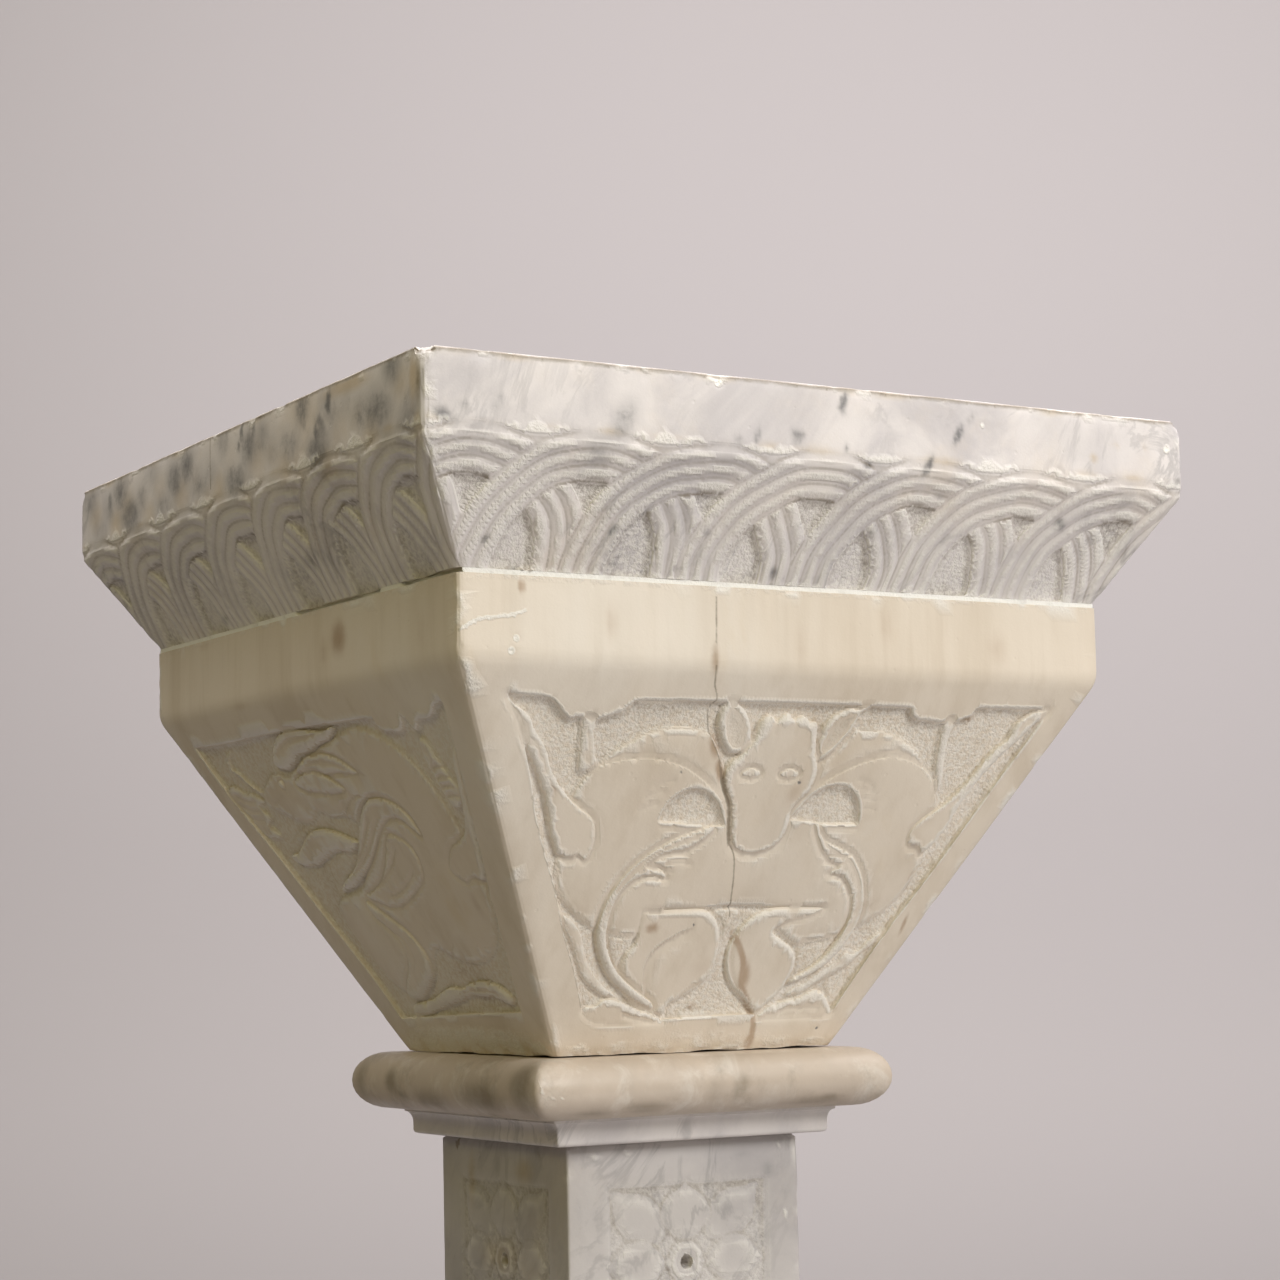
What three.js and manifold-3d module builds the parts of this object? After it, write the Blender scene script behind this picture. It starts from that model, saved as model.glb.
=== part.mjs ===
// A carved marble pedestal column: an abacus slab bedded in plaster on a tapering capital, which stands
// dry on a half-round collar, a thin necking slab, a square shaft and a square base. Iron dowels hold the
// blocks in line. Millimetres, +Z up, origin on the floor at the middle of the plinth.
import * as THREE from "three";
import { mergeVertices } from "three/addons/utils/BufferGeometryUtils.js";
import Module from "manifold-3d";

const wasm = await Module();
wasm.setup();

// ---- Driving dimensions ----

// Abacus, the grey-veined slab on top. Its chamfer runs down to the capital's width.
const ABACUS_WIDTH = 380;
const ABACUS_HEIGHT = 80;
const ABACUS_BAND = 34; // upright band above the chamfer
const ABACUS_EDGE = 4; // worn edge round the top

// Plaster bed under the abacus, drawn back from the face of the capital.
const MORTAR_THICKNESS = 1.5;
const MORTAR_SETBACK = 0.8;

// Capital, an upright band above a square taper.
const CAPITAL_WIDTH = 322;
const CAPITAL_HEIGHT = 193;
const CAPITAL_BAND = 33;
const CAPITAL_FOOT = 143;

// Astragal, the half-round collar under the capital.
const ASTRAGAL_WIDTH = 184;
const ASTRAGAL_HEIGHT = 26;

// Necking, the thin hollow-sided slab between collar and shaft.
const NECKING_WIDTH = 146;
const NECKING_HEIGHT = 11.5;
const NECKING_REACH = 10; // how far its foot stands proud of the shaft
const NECKING_LIP = 2; // upright lip above the hollow

// Square shaft, with worn arrises at its two ends.
const SHAFT_WIDTH = 120;
const SHAFT_HEIGHT = 605;
const SHAFT_EDGE = 2;

// Drilled eyes of the rosettes, one above another on each face of the shaft.
const ROSETTE_HEIGHT = 71; // height of one rosette panel
const ROSETTE_MARGIN = 18.5; // plain stone above the first panel
const EYE_DIAMETER = 6.5;
const EYE_DEPTH = 9;

// Sunk strip that the rosettes stand in, between two plain borders. A rosette has four petals and four
// longer corner leaves, drawn here for a panel of ROSETTE_HEIGHT and widened to the strip.
const STRIP_DEPTH = 1.6;
const STRIP_BORDER_LEFT = 20;
const STRIP_BORDER_RIGHT = 17;
const PETAL_REACH = 33;
const LEAF_REACH = 46;
const LEAF_SHOULDER = 25; // from the eye to the widest part of a petal or leaf
const LEAF_CLEFT = 15; // from the eye to the foot of the cleft between two of them
const LEAF_SPREAD = 19; // half the angle that one spans at its shoulder, in degrees

// Base: a hollow-sided slab, a half-round collar and a plinth with sloping shoulders.
const BASE_SLAB_REACH = 12;
const BASE_SLAB_HEIGHT = 14;
const BASE_TORUS_WIDTH = 204;
const BASE_TORUS_HEIGHT = 34;
const PLINTH_WIDTH = 300;
const PLINTH_HEIGHT = 102;
const PLINTH_BAND = 60;
const PLINTH_LEDGE = 5; // flat ledge left round the collar that stands on it
const PLINTH_EDGE = 4;

// Iron dowels, each set in plaster grout where it is fixed.
const TOP_DOWEL_DIAMETER = 12;
const TOP_DOWEL_EMBED = 45; // into each of the two blocks that it joins
const NECK_DOWEL_DIAMETER = 16;
const NECK_DOWEL_EMBED = 60;
const BASE_DOWEL_DIAMETER = 16;
const BASE_DOWEL_EMBED = 60;
const GROUT_THICKNESS = 5; // wall of grout round a dowel

// Relief on the capital's sloping faces. The outlines are in the next section.
const RELIEF_DEPTH = 3;

const JOINT_GAP = 0.3; // between faces that rest on each other
const DOWEL_CLEARANCE = 1; // round a dowel that passes through a block dry

const ROUND_STEPS = 10; // facets on a half-round nose
const HOLLOW_STEPS = 6; // facets on a quarter hollow
const DOWEL_SIDES = 20;
const EYE_SIDES = 10;

// ---- Outlines of the relief ----

// Drawn on an unrolled face of the capital as [x to the right, y down from the band], for a face of this
// size, and stretched with it.
const DRAWN_WIDTH = 322; // at the band
const DRAWN_SLOPE = 183.3; // from the band down to the foot

// Front and back: two bodies with one head between them, among leaves.
const BEAST_GROUND = [
  [-134, 15.5], [138, 14.5], [112, 69], [86, 121], [67, 165.5], [-63, 163.5], [-91, 104], [-116, 51],
];
const BEAST_BODIES = [
  [-33, 31.5], [-47, 27.6], [-66, 30.6], [-81, 40.5], [-91.5, 53], [-94, 78], [-90, 103], [-75, 118],
  [-56, 125.5], [-30, 125.5], [-13, 113.5], [18, 113], [29, 126.5], [38, 132], [61, 127], [78, 117.5],
  [90, 103], [94, 78], [91, 57], [80, 42], [63, 30], [45, 26], [33, 32], [20, 44], [0, 50], [-22, 46],
];
const BEAST_WINDOWS = [
  [[-50.5, 72], [-46, 60.5], [-36, 55.8], [-25.5, 59.5], [-15.5, 74]],
  [[15, 70.5], [22, 60], [31.5, 53.6], [42, 54.2], [49.5, 61.5], [52.5, 72.5]],
];
const BEAST_HEAD = [
  [-13, 27], [0, 19.6], [13, 23.6], [20, 37], [23.5, 49], [15.5, 66], [13, 81.5], [0, 86.6], [-10.5, 82.5],
  [-17.5, 62], [-23.5, 50], [-17.5, 38.5],
];
const BEAST_EARS = [
  [[-32, 16], [-20.5, 20], [-13.5, 36], [-23, 39.8], [-31, 31]],
  [[19, 32], [27.5, 18], [43, 15.8], [32, 33], [21.5, 42.5]],
];
const BEAST_HAUNCHES = [
  [[-46, 114], [-15, 113], [-2.6, 127.5], [-1.8, 142.5], [-15, 156.8], [-22, 166], [-31, 166], [-46.5, 150]],
  [[48, 113], [20, 112.8], [4.2, 125.5], [3.4, 140.5], [17.5, 158.5], [27, 168], [40.6, 144.5], [36.5, 132.6]],
];
const BEAST_TAILS = [
  [[-66, 114], [-62, 134], [-47, 151.5], [-28, 161.5], [-46, 146.5], [-58.5, 130], [-61, 114]],
  [[67, 114], [61.5, 136.5], [39, 151.5], [54.5, 136.5], [60, 114]],
];
const BEAST_FEET = [
  [[-64, 161], [-49, 155.4], [-24, 165], [-22, 168.5], [-56, 167]],
  [[27, 167], [39, 159.5], [54.5, 154], [64.5, 161], [66.5, 167]],
];
const FRONT_LEAVES = [
  [[-135, 14], [-118.5, 30], [-103, 52], [-79, 75], [-80, 90], [-94, 87], [-106.5, 61], [-122.5, 36]],
  [[139, 14], [120, 29], [100.5, 56], [80.6, 77], [91, 86.5], [106, 60.5], [124, 33]],
  [[-90, 105], [-72.5, 124], [-58.5, 146], [-44, 156.5], [-59.5, 151.5], [-76, 130]],
  [[90, 110], [79.5, 126.5], [62, 139.5], [42, 153.5], [54.5, 151.5], [74.5, 136.5]],
];
const FRONT_TREES = [
  [[-117, 14], [-104, 25.2], [-98, 25], [-93, 50], [-85.5, 46], [-91, 25.5], [-73, 14]],
  [[61, 14], [67, 21.2], [82, 21.8], [84, 40], [91.5, 50], [88.6, 21.8], [98.5, 14]],
];

// Left and right: a long-eared beast bent over its own limbs.
const STOOP_GROUND = [
  [-134, 17], [130, 17], [102, 74], [81, 120], [62, 162], [-60, 166.4], [-89, 106], [-109, 68],
];
const STOOP_BODY = [
  [-62, 36], [-44, 36.4], [-24, 30], [18, 23], [40, 20.4], [60, 27], [76, 40], [87, 68], [87, 84], [80, 112],
  [64, 130.5], [41, 137.6], [9, 130], [-6, 142], [-30, 155], [-52, 148], [-67, 125], [-71, 112], [-50, 100],
  [-22, 88], [-4, 68], [-30, 61.4], [-54, 63], [-84, 55], [-90, 50], [-78, 39.6],
];
const STOOP_EAR = [[-58, 33], [-43, 19.6], [-20, 17.2], [20, 18.6], [-2, 26], [-38, 33.4]];
const STOOP_ARM = [[-92, 78], [-71, 72], [-48, 66], [-15, 75], [-37, 78.2], [-68, 84.6]];
const STOOP_LIMB = [[14, 56], [51.5, 75], [24, 66.8], [-10, 85], [-58, 99], [-33, 87.4], [-8, 70.8]];
const STOOP_FOOT = [[-46, 168], [-32, 156.6], [2, 149.2], [33, 146.2], [57, 155], [30, 154.4], [-4, 158.6]];
const SIDE_LEAVES = [
  [[62, 92], [82, 78.6], [99, 64], [114, 39], [119, 37], [98, 79], [86, 98]],
  [[-124, 41], [-98, 44.6], [-91, 67.6], [-109, 66]],
  [[92, 30], [104, 55.5], [93, 64.6], [88.6, 38]],
];

// ---- Heights of the joints, from the floor up ----

const torusZ = PLINTH_HEIGHT + JOINT_GAP;
const baseSlabZ = torusZ + BASE_TORUS_HEIGHT + JOINT_GAP;
const shaftZ = baseSlabZ + BASE_SLAB_HEIGHT + JOINT_GAP;
const neckingZ = shaftZ + SHAFT_HEIGHT + JOINT_GAP;
const astragalZ = neckingZ + NECKING_HEIGHT + JOINT_GAP;
const capitalZ = astragalZ + ASTRAGAL_HEIGHT + JOINT_GAP;
const mortarZ = capitalZ + CAPITAL_HEIGHT + JOINT_GAP;
const abacusZ = mortarZ + MORTAR_THICKNESS + JOINT_GAP;

// ---- Stone and metal ----

const greyMarble = new THREE.MeshStandardMaterial({ color: 0xc9c6c4, roughness: 0.5 });
const creamMarble = new THREE.MeshStandardMaterial({ color: 0xd9ccb6, roughness: 0.5 });
const stainedMarble = new THREE.MeshStandardMaterial({ color: 0xb9aa97, roughness: 0.42 });
const plaster = new THREE.MeshStandardMaterial({ color: 0xeeebe4, roughness: 0.9 });
const iron = new THREE.MeshStandardMaterial({ color: 0x4a423c, roughness: 0.7, metalness: 0.9 });

// ---- Shape helpers ----

// A geometry as a manifold solid, and back again.
function solidOf(geometry) {
  const bare = geometry.clone();
  bare.deleteAttribute("normal");
  bare.deleteAttribute("uv");
  const merged = mergeVertices(bare, 1e-4);
  const mesh = { numProp: 3, vertProperties: merged.attributes.position.array };
  return new wasm.Manifold(new wasm.Mesh({ ...mesh, triVerts: new Uint32Array(merged.index.array) }));
}

function geometryOf(solid) {
  const mesh = solid.getMesh();
  const geometry = new THREE.BufferGeometry();
  geometry.setAttribute("position", new THREE.BufferAttribute(mesh.vertProperties, mesh.numProp));
  geometry.setIndex(new THREE.BufferAttribute(mesh.triVerts, 1));
  geometry.computeVertexNormals();
  return geometry;
}

// A square block with mitred corners. The profile is a list of [half width, height] from foot to top.
function squareBlock(profile) {
  const outline = [[0, profile[0][1]], ...profile, [0, profile[profile.length - 1][1]]];
  const points = outline.map(([half, z]) => new THREE.Vector2(half * Math.SQRT2, z));
  return new THREE.LatheGeometry(points, 4, Math.PI / 4).rotateX(Math.PI / 2);
}

// An upright round bar or hole from one height to another.
function uprightBar(diameter, bottom, top, sides = DOWEL_SIDES) {
  const bar = new THREE.CylinderGeometry(diameter / 2, diameter / 2, top - bottom, sides);
  return bar.rotateX(Math.PI / 2).translate(0, 0, (bottom + top) / 2);
}

// A block with the given cutters taken out.
function cutBlock(block, cutters) {
  let solid = solidOf(block);
  for (const cutter of cutters) solid = solid.subtract(solidOf(cutter));
  return geometryOf(solid);
}

// A half-round nose from foot to top, as profile points.
function halfRound(width, bottom, height) {
  const radius = height / 2;
  const points = [];
  for (let i = 0; i <= ROUND_STEPS; i++) {
    const angle = -Math.PI / 2 + (Math.PI * i) / ROUND_STEPS;
    points.push([width / 2 - radius + radius * Math.cos(angle), bottom + radius + radius * Math.sin(angle)]);
  }
  return points;
}

// A quarter hollow between a narrow foot and a wide top, as profile points.
function hollow(footHalf, topHalf, bottom, top) {
  const points = [];
  for (let i = 0; i <= HOLLOW_STEPS; i++) {
    const angle = (Math.PI / 2) * (i / HOLLOW_STEPS);
    points.push([topHalf - (topHalf - footHalf) * Math.cos(angle), bottom + (top - bottom) * Math.sin(angle)]);
  }
  return points;
}

// ---- Relief ----

const FACE_MARGIN = 1; // how far a cutter reaches past the stone that it cuts

// The space to cut away in front of one flat face, which lies at z = 0 with y pointing down. The steps are
// taken in order: each sinks the stone inside an outline, or keeps what is inside it standing.
function reliefCutter(steps, depth) {
  let cutter = null;
  for (const { sink, keep } of steps) {
    const outline = sink ?? keep;
    const inner = sink ? depth : depth + FACE_MARGIN;
    const outer = sink ? FACE_MARGIN : 2 * FACE_MARGIN;
    const shape = new THREE.Shape(outline.map(([x, y]) => new THREE.Vector2(x, -y)));
    const prism = new THREE.ExtrudeGeometry(shape, { depth: inner + outer, bevelEnabled: false });
    const solid = solidOf(prism.translate(0, 0, -inner));
    if (keep) cutter = cutter.subtract(solid);
    else cutter = cutter ? cutter.add(solid) : solid;
  }
  return geometryOf(cutter);
}

// The cutter set against one side of a block, whose face leans inwards below its upper edge.
function onFace(cutter, half, top, lean, face) {
  const upright = cutter.clone().rotateX(Math.PI / 2 + lean);
  return upright.translate(0, -half, top).rotateZ((face * Math.PI) / 2);
}

const keepAll = (outlines) => outlines.map((outline) => ({ keep: outline }));
const sinkAll = (outlines) => outlines.map((outline) => ({ sink: outline }));

const TWO_BODIED_BEAST = [
  ...sinkAll([BEAST_GROUND]),
  ...keepAll([BEAST_BODIES, ...FRONT_LEAVES, ...FRONT_TREES, ...BEAST_HAUNCHES, ...BEAST_FEET]),
  ...sinkAll(BEAST_WINDOWS),
  ...keepAll([...BEAST_TAILS, ...BEAST_EARS, BEAST_HEAD]),
];
const STOOPING_BEAST = [
  ...sinkAll([STOOP_GROUND]),
  ...keepAll([STOOP_BODY, STOOP_EAR, STOOP_ARM, STOOP_LIMB, STOOP_FOOT, ...SIDE_LEAVES]),
];

// ---- Dowel holes ----

const groutedHole = (diameter) => diameter + 2 * (GROUT_THICKNESS + 2 * JOINT_GAP);
const dryHole = (diameter) => diameter + 2 * DOWEL_CLEARANCE;

// ---- Stone blocks ----

function abacus() {
  const half = ABACUS_WIDTH / 2;
  const top = abacusZ + ABACUS_HEIGHT;
  const block = squareBlock([
    [CAPITAL_WIDTH / 2, abacusZ],
    [half, top - ABACUS_BAND],
    [half, top - ABACUS_EDGE],
    [half - ABACUS_EDGE / 2, top - ABACUS_EDGE / 4],
    [half - ABACUS_EDGE, top],
  ]);
  const socketTop = abacusZ + TOP_DOWEL_EMBED + JOINT_GAP;
  return cutBlock(block, [uprightBar(groutedHole(TOP_DOWEL_DIAMETER), abacusZ - 1, socketTop)]);
}

function mortarBed() {
  const half = CAPITAL_WIDTH / 2 - MORTAR_SETBACK;
  const top = mortarZ + MORTAR_THICKNESS;
  const sheet = squareBlock([[half, mortarZ], [half, top]]);
  return cutBlock(sheet, [uprightBar(dryHole(TOP_DOWEL_DIAMETER), mortarZ - 1, top + 1)]);
}

// The steps of a drawing stretched to the capital's face, and turned over left to right if asked.
function fitted(steps, slope, hand) {
  const across = (hand * CAPITAL_WIDTH) / DRAWN_WIDTH;
  const down = slope / DRAWN_SLOPE;
  const fit = (outline) => outline?.map(([x, y]) => [x * across, y * down]);
  return steps.map(({ sink, keep }) => ({ sink: fit(sink), keep: fit(keep) }));
}

// The capital's relief: the two-bodied beast on the front and back, the stooping one on the two sides.
function capitalRelief() {
  const half = CAPITAL_WIDTH / 2;
  const inset = half - CAPITAL_FOOT / 2;
  const fall = CAPITAL_HEIGHT - CAPITAL_BAND;
  const slope = Math.hypot(inset, fall);
  const sides = [[TWO_BODIED_BEAST, 1], [STOOPING_BEAST, -1], [TWO_BODIED_BEAST, 1], [STOOPING_BEAST, 1]];
  return sides.map(([steps, hand], face) => {
    const cutter = reliefCutter(fitted(steps, slope, hand), RELIEF_DEPTH);
    return onFace(cutter, half, capitalZ + fall, Math.atan2(inset, fall), face);
  });
}

function capital() {
  const top = capitalZ + CAPITAL_HEIGHT;
  const block = squareBlock([
    [CAPITAL_FOOT / 2, capitalZ],
    [CAPITAL_WIDTH / 2, top - CAPITAL_BAND],
    [CAPITAL_WIDTH / 2, top],
  ]);
  const upperFloor = top - TOP_DOWEL_EMBED - JOINT_GAP;
  const lowerRoof = neckDowelTop() + JOINT_GAP;
  return cutBlock(block, [
    uprightBar(groutedHole(TOP_DOWEL_DIAMETER), upperFloor, top + 1),
    uprightBar(dryHole(NECK_DOWEL_DIAMETER), capitalZ - 1, lowerRoof),
    ...capitalRelief(),
  ]);
}

function collar(width, bottom, height, dowelDiameter) {
  const block = squareBlock(halfRound(width, bottom, height));
  return cutBlock(block, [uprightBar(dryHole(dowelDiameter), bottom - 1, bottom + height + 1)]);
}

function necking() {
  const foot = SHAFT_WIDTH / 2 + NECKING_REACH;
  const top = neckingZ + NECKING_HEIGHT;
  const lip = top - NECKING_LIP;
  const side = hollow(foot, NECKING_WIDTH / 2, neckingZ + NECKING_LIP, lip);
  const block = squareBlock([[foot, neckingZ], ...side, [NECKING_WIDTH / 2, top]]);
  return cutBlock(block, [uprightBar(dryHole(NECK_DOWEL_DIAMETER), neckingZ - 1, top + 1)]);
}

function baseSlab() {
  const head = SHAFT_WIDTH / 2 + BASE_SLAB_REACH / 2;
  const foot = SHAFT_WIDTH / 2 + BASE_SLAB_REACH;
  const top = baseSlabZ + BASE_SLAB_HEIGHT;
  const side = hollow(head, foot, top - NECKING_LIP, baseSlabZ + NECKING_LIP).reverse();
  const block = squareBlock([[foot, baseSlabZ], ...side, [head, top]]);
  return cutBlock(block, [uprightBar(dryHole(BASE_DOWEL_DIAMETER), baseSlabZ - 1, top + 1)]);
}

// The rosette panels fill the face between equal margins at its two ends.
function rosettePitch() {
  const field = SHAFT_HEIGHT - 2 * ROSETTE_MARGIN;
  return field / Math.max(1, Math.round(field / ROSETTE_HEIGHT));
}

// Distances of the rosettes' eyes from either end of the shaft.
function rosetteEyes() {
  const pitch = rosettePitch();
  const count = Math.round((SHAFT_HEIGHT - 2 * ROSETTE_MARGIN) / pitch);
  return Array.from({ length: count }, (_, i) => ROSETTE_MARGIN + pitch * (i + 0.5));
}

// Outline of the petals and corner leaves round an eye.
function flower(eye, across, down) {
  const points = [];
  for (let i = 0; i < 8; i++) {
    const tip = i % 2 ? LEAF_REACH : PETAL_REACH;
    const bends = [[LEAF_CLEFT, -22.5], [LEAF_SHOULDER, -LEAF_SPREAD], [tip, 0], [LEAF_SHOULDER, LEAF_SPREAD]];
    for (const [reach, turn] of bends) {
      const angle = THREE.MathUtils.degToRad(45 * i + turn);
      points.push([reach * Math.sin(angle) * across, eye + reach * Math.cos(angle) * down]);
    }
  }
  return points;
}

// The sunk strip of one face of the shaft, with the rosettes left standing in it.
function rosetteStrip() {
  const left = STRIP_BORDER_LEFT - SHAFT_WIDTH / 2;
  const right = SHAFT_WIDTH / 2 - STRIP_BORDER_RIGHT;
  const end = SHAFT_HEIGHT - ROSETTE_MARGIN;
  const strip = [[left, ROSETTE_MARGIN], [right, ROSETTE_MARGIN], [right, end], [left, end]];
  const across = (right - left) / ROSETTE_HEIGHT;
  const down = rosettePitch() / ROSETTE_HEIGHT;
  const flowers = rosetteEyes().map((eye) => flower(eye, across, down));
  return reliefCutter([...sinkAll([strip]), ...keepAll(flowers)], STRIP_DEPTH);
}

function shaft() {
  const half = SHAFT_WIDTH / 2;
  const top = shaftZ + SHAFT_HEIGHT;
  const block = squareBlock([
    [half - SHAFT_EDGE, shaftZ],
    [half, shaftZ + SHAFT_EDGE],
    [half, top - SHAFT_EDGE],
    [half - SHAFT_EDGE, top],
  ]);
  const cutters = [
    uprightBar(groutedHole(NECK_DOWEL_DIAMETER), top - NECK_DOWEL_EMBED - JOINT_GAP, top + 1),
    uprightBar(groutedHole(BASE_DOWEL_DIAMETER), shaftZ - 1, shaftZ + BASE_DOWEL_EMBED + JOINT_GAP),
  ];
  const strip = rosetteStrip();
  for (let face = 0; face < 4; face++) {
    cutters.push(onFace(strip, half, top, 0, face));
    for (const z of rosetteEyes()) {
      const eye = new THREE.CylinderGeometry(EYE_DIAMETER / 2, EYE_DIAMETER / 2, 2 * EYE_DEPTH, EYE_SIDES);
      cutters.push(eye.translate(0, -half, 0).rotateZ((face * Math.PI) / 2).translate(0, 0, shaftZ + z));
    }
  }
  return cutBlock(block, cutters);
}

function plinth() {
  const half = PLINTH_WIDTH / 2;
  const ledge = BASE_TORUS_WIDTH / 2 + PLINTH_LEDGE;
  const block = squareBlock([
    [half, 0],
    [half, PLINTH_BAND - PLINTH_EDGE / 2],
    [half - PLINTH_EDGE / 2, PLINTH_BAND],
    [ledge, PLINTH_HEIGHT],
  ]);
  const floor = PLINTH_HEIGHT - BASE_DOWEL_EMBED - JOINT_GAP;
  return cutBlock(block, [uprightBar(groutedHole(BASE_DOWEL_DIAMETER), floor, PLINTH_HEIGHT + 1)]);
}

// ---- Dowels and their grout ----

const topDowelBottom = () => capitalZ + CAPITAL_HEIGHT - TOP_DOWEL_EMBED;
const topDowelTop = () => abacusZ + TOP_DOWEL_EMBED;
const neckDowelBottom = () => shaftZ + SHAFT_HEIGHT - NECK_DOWEL_EMBED;
const neckDowelTop = () => capitalZ + NECK_DOWEL_EMBED;
const baseDowelBottom = () => PLINTH_HEIGHT - BASE_DOWEL_EMBED;
const baseDowelTop = () => shaftZ + BASE_DOWEL_EMBED;

// A sleeve of grout round a dowel, clear of the dowel and of the hole by the joint gap.
function grout(dowelDiameter, bottom, top) {
  const outer = dowelDiameter + 2 * (GROUT_THICKNESS + JOINT_GAP);
  const inner = dowelDiameter + 2 * JOINT_GAP;
  return cutBlock(uprightBar(outer, bottom, top), [uprightBar(inner, bottom - 1, top + 1)]);
}

// ---- The column, from the floor up ----

const column = new THREE.Group();

function add(name, geometry, material) {
  const mesh = new THREE.Mesh(geometry, material);
  mesh.name = name;
  column.add(mesh);
}

add("plinth", plinth(), greyMarble);
add("base_torus", collar(BASE_TORUS_WIDTH, torusZ, BASE_TORUS_HEIGHT, BASE_DOWEL_DIAMETER), stainedMarble);
add("base_slab", baseSlab(), greyMarble);
add("shaft", shaft(), greyMarble);
add("necking", necking(), greyMarble);
add("astragal", collar(ASTRAGAL_WIDTH, astragalZ, ASTRAGAL_HEIGHT, NECK_DOWEL_DIAMETER), stainedMarble);
add("capital", capital(), creamMarble);
add("mortar_bed", mortarBed(), plaster);
add("abacus", abacus(), greyMarble);

add("base_dowel", uprightBar(BASE_DOWEL_DIAMETER, baseDowelBottom(), baseDowelTop()), iron);
add("base_dowel_grout_lower", grout(BASE_DOWEL_DIAMETER, baseDowelBottom(), PLINTH_HEIGHT), plaster);
add("base_dowel_grout_upper", grout(BASE_DOWEL_DIAMETER, shaftZ, baseDowelTop()), plaster);
add("neck_dowel", uprightBar(NECK_DOWEL_DIAMETER, neckDowelBottom(), neckDowelTop()), iron);
add("neck_dowel_grout", grout(NECK_DOWEL_DIAMETER, neckDowelBottom(), shaftZ + SHAFT_HEIGHT), plaster);
add("top_dowel", uprightBar(TOP_DOWEL_DIAMETER, topDowelBottom(), topDowelTop()), iron);
add("top_dowel_grout_lower", grout(TOP_DOWEL_DIAMETER, topDowelBottom(), capitalZ + CAPITAL_HEIGHT), plaster);
add("top_dowel_grout_upper", grout(TOP_DOWEL_DIAMETER, abacusZ, topDowelTop()), plaster);

export default column;
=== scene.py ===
"""Carved marble pedestal column: the carving, the wear and the finish of every block.

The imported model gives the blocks. Each stone is modelled here again with its carving cut inwards from
the same faces, so it stays inside its block. Drawings of the carving are in millimetres on an unrolled
face, x to the right and y down the slope; everything else is in metres, +Z up.
"""

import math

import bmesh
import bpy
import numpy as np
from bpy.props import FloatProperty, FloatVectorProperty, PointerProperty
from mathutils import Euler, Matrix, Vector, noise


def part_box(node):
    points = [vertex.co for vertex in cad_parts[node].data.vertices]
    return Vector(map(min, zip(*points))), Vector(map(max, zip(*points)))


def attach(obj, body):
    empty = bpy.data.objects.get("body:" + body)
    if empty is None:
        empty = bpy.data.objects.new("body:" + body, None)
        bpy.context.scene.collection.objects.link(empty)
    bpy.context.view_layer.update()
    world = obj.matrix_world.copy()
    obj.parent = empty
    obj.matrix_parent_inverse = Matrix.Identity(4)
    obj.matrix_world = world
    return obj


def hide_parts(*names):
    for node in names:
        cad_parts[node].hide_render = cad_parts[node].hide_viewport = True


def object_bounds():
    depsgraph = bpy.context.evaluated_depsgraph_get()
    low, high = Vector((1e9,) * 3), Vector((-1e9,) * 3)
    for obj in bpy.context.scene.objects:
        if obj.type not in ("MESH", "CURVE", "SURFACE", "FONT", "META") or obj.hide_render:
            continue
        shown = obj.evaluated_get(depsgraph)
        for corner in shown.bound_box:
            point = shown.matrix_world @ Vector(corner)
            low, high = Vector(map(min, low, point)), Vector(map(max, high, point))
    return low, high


bl_info = {
    "name": "Carved marble pedestal",
    "version": (1, 0, 0),
    "blender": (4, 5, 0),
    "location": "3D Viewport > Sidebar > Pedestal",
    "description": "Builds the carved and worn stones of a marble pedestal column on its packed blocks",
    "category": "Object",
}

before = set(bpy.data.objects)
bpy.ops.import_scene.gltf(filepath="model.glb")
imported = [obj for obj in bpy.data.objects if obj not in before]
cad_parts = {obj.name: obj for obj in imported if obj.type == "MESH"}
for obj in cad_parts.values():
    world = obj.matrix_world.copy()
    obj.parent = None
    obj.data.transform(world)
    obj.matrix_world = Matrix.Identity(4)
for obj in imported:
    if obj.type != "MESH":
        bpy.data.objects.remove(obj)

CAD_BOX = [list(corner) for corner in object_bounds()]
MM = 0.001
# Kinds of mark on a face. The crack marks also carry the painted shadow under the inner edges of the arches,
# and the chalk marks carry painted light along the capital's foot and a painted highlight on the rosettes'
# rings.
MARKS = ("grey", "brown", "crack_and_shade", "chalk_and_light")
FAR = 99.0  # millimetres from a line, farther than any finer mesh reaches


# ---- Settings ----


def length(name, default, text):
    """A length in metres."""
    return FloatProperty(name=name, description=text, default=default, min=0, unit="LENGTH", precision=5)


def colour(name, default, text):
    """A colour in linear red, green and blue."""
    options = dict(name=name, description=text, default=default, size=3, min=0, max=1)
    return FloatVectorProperty(subtype="COLOR", **options)


def power(name, default, text):
    """The power of a light in watts."""
    return FloatProperty(name=name, description=text, default=default, unit="POWER")


class PEDESTAL_PG_carving(bpy.types.PropertyGroup):
    """Sizes of the carving and of the wear."""

    ground: length("Ground depth", 0.0030, "How deep the stippled ground of the capital is sunk")
    arch_ground: length("Arch ground depth", 0.0035, "How deep the ground between the arches is sunk")
    rosette_ground: length("Rosette depth", 0.0012, "How deep the ground of the shaft's panels is sunk")
    arris: length("Arris", 0.0032, "Rounding of the upright corners of the blocks")
    shoulder: length("Shoulder", 0.009, "Rounding under the upright band of the capital")
    fine_cell: length("Fine mesh", 0.0009, "Size of the mesh faces along a carved edge")
    unevenness: length("Unevenness", 0.0006, "How far the faces dip between their corners")


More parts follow.
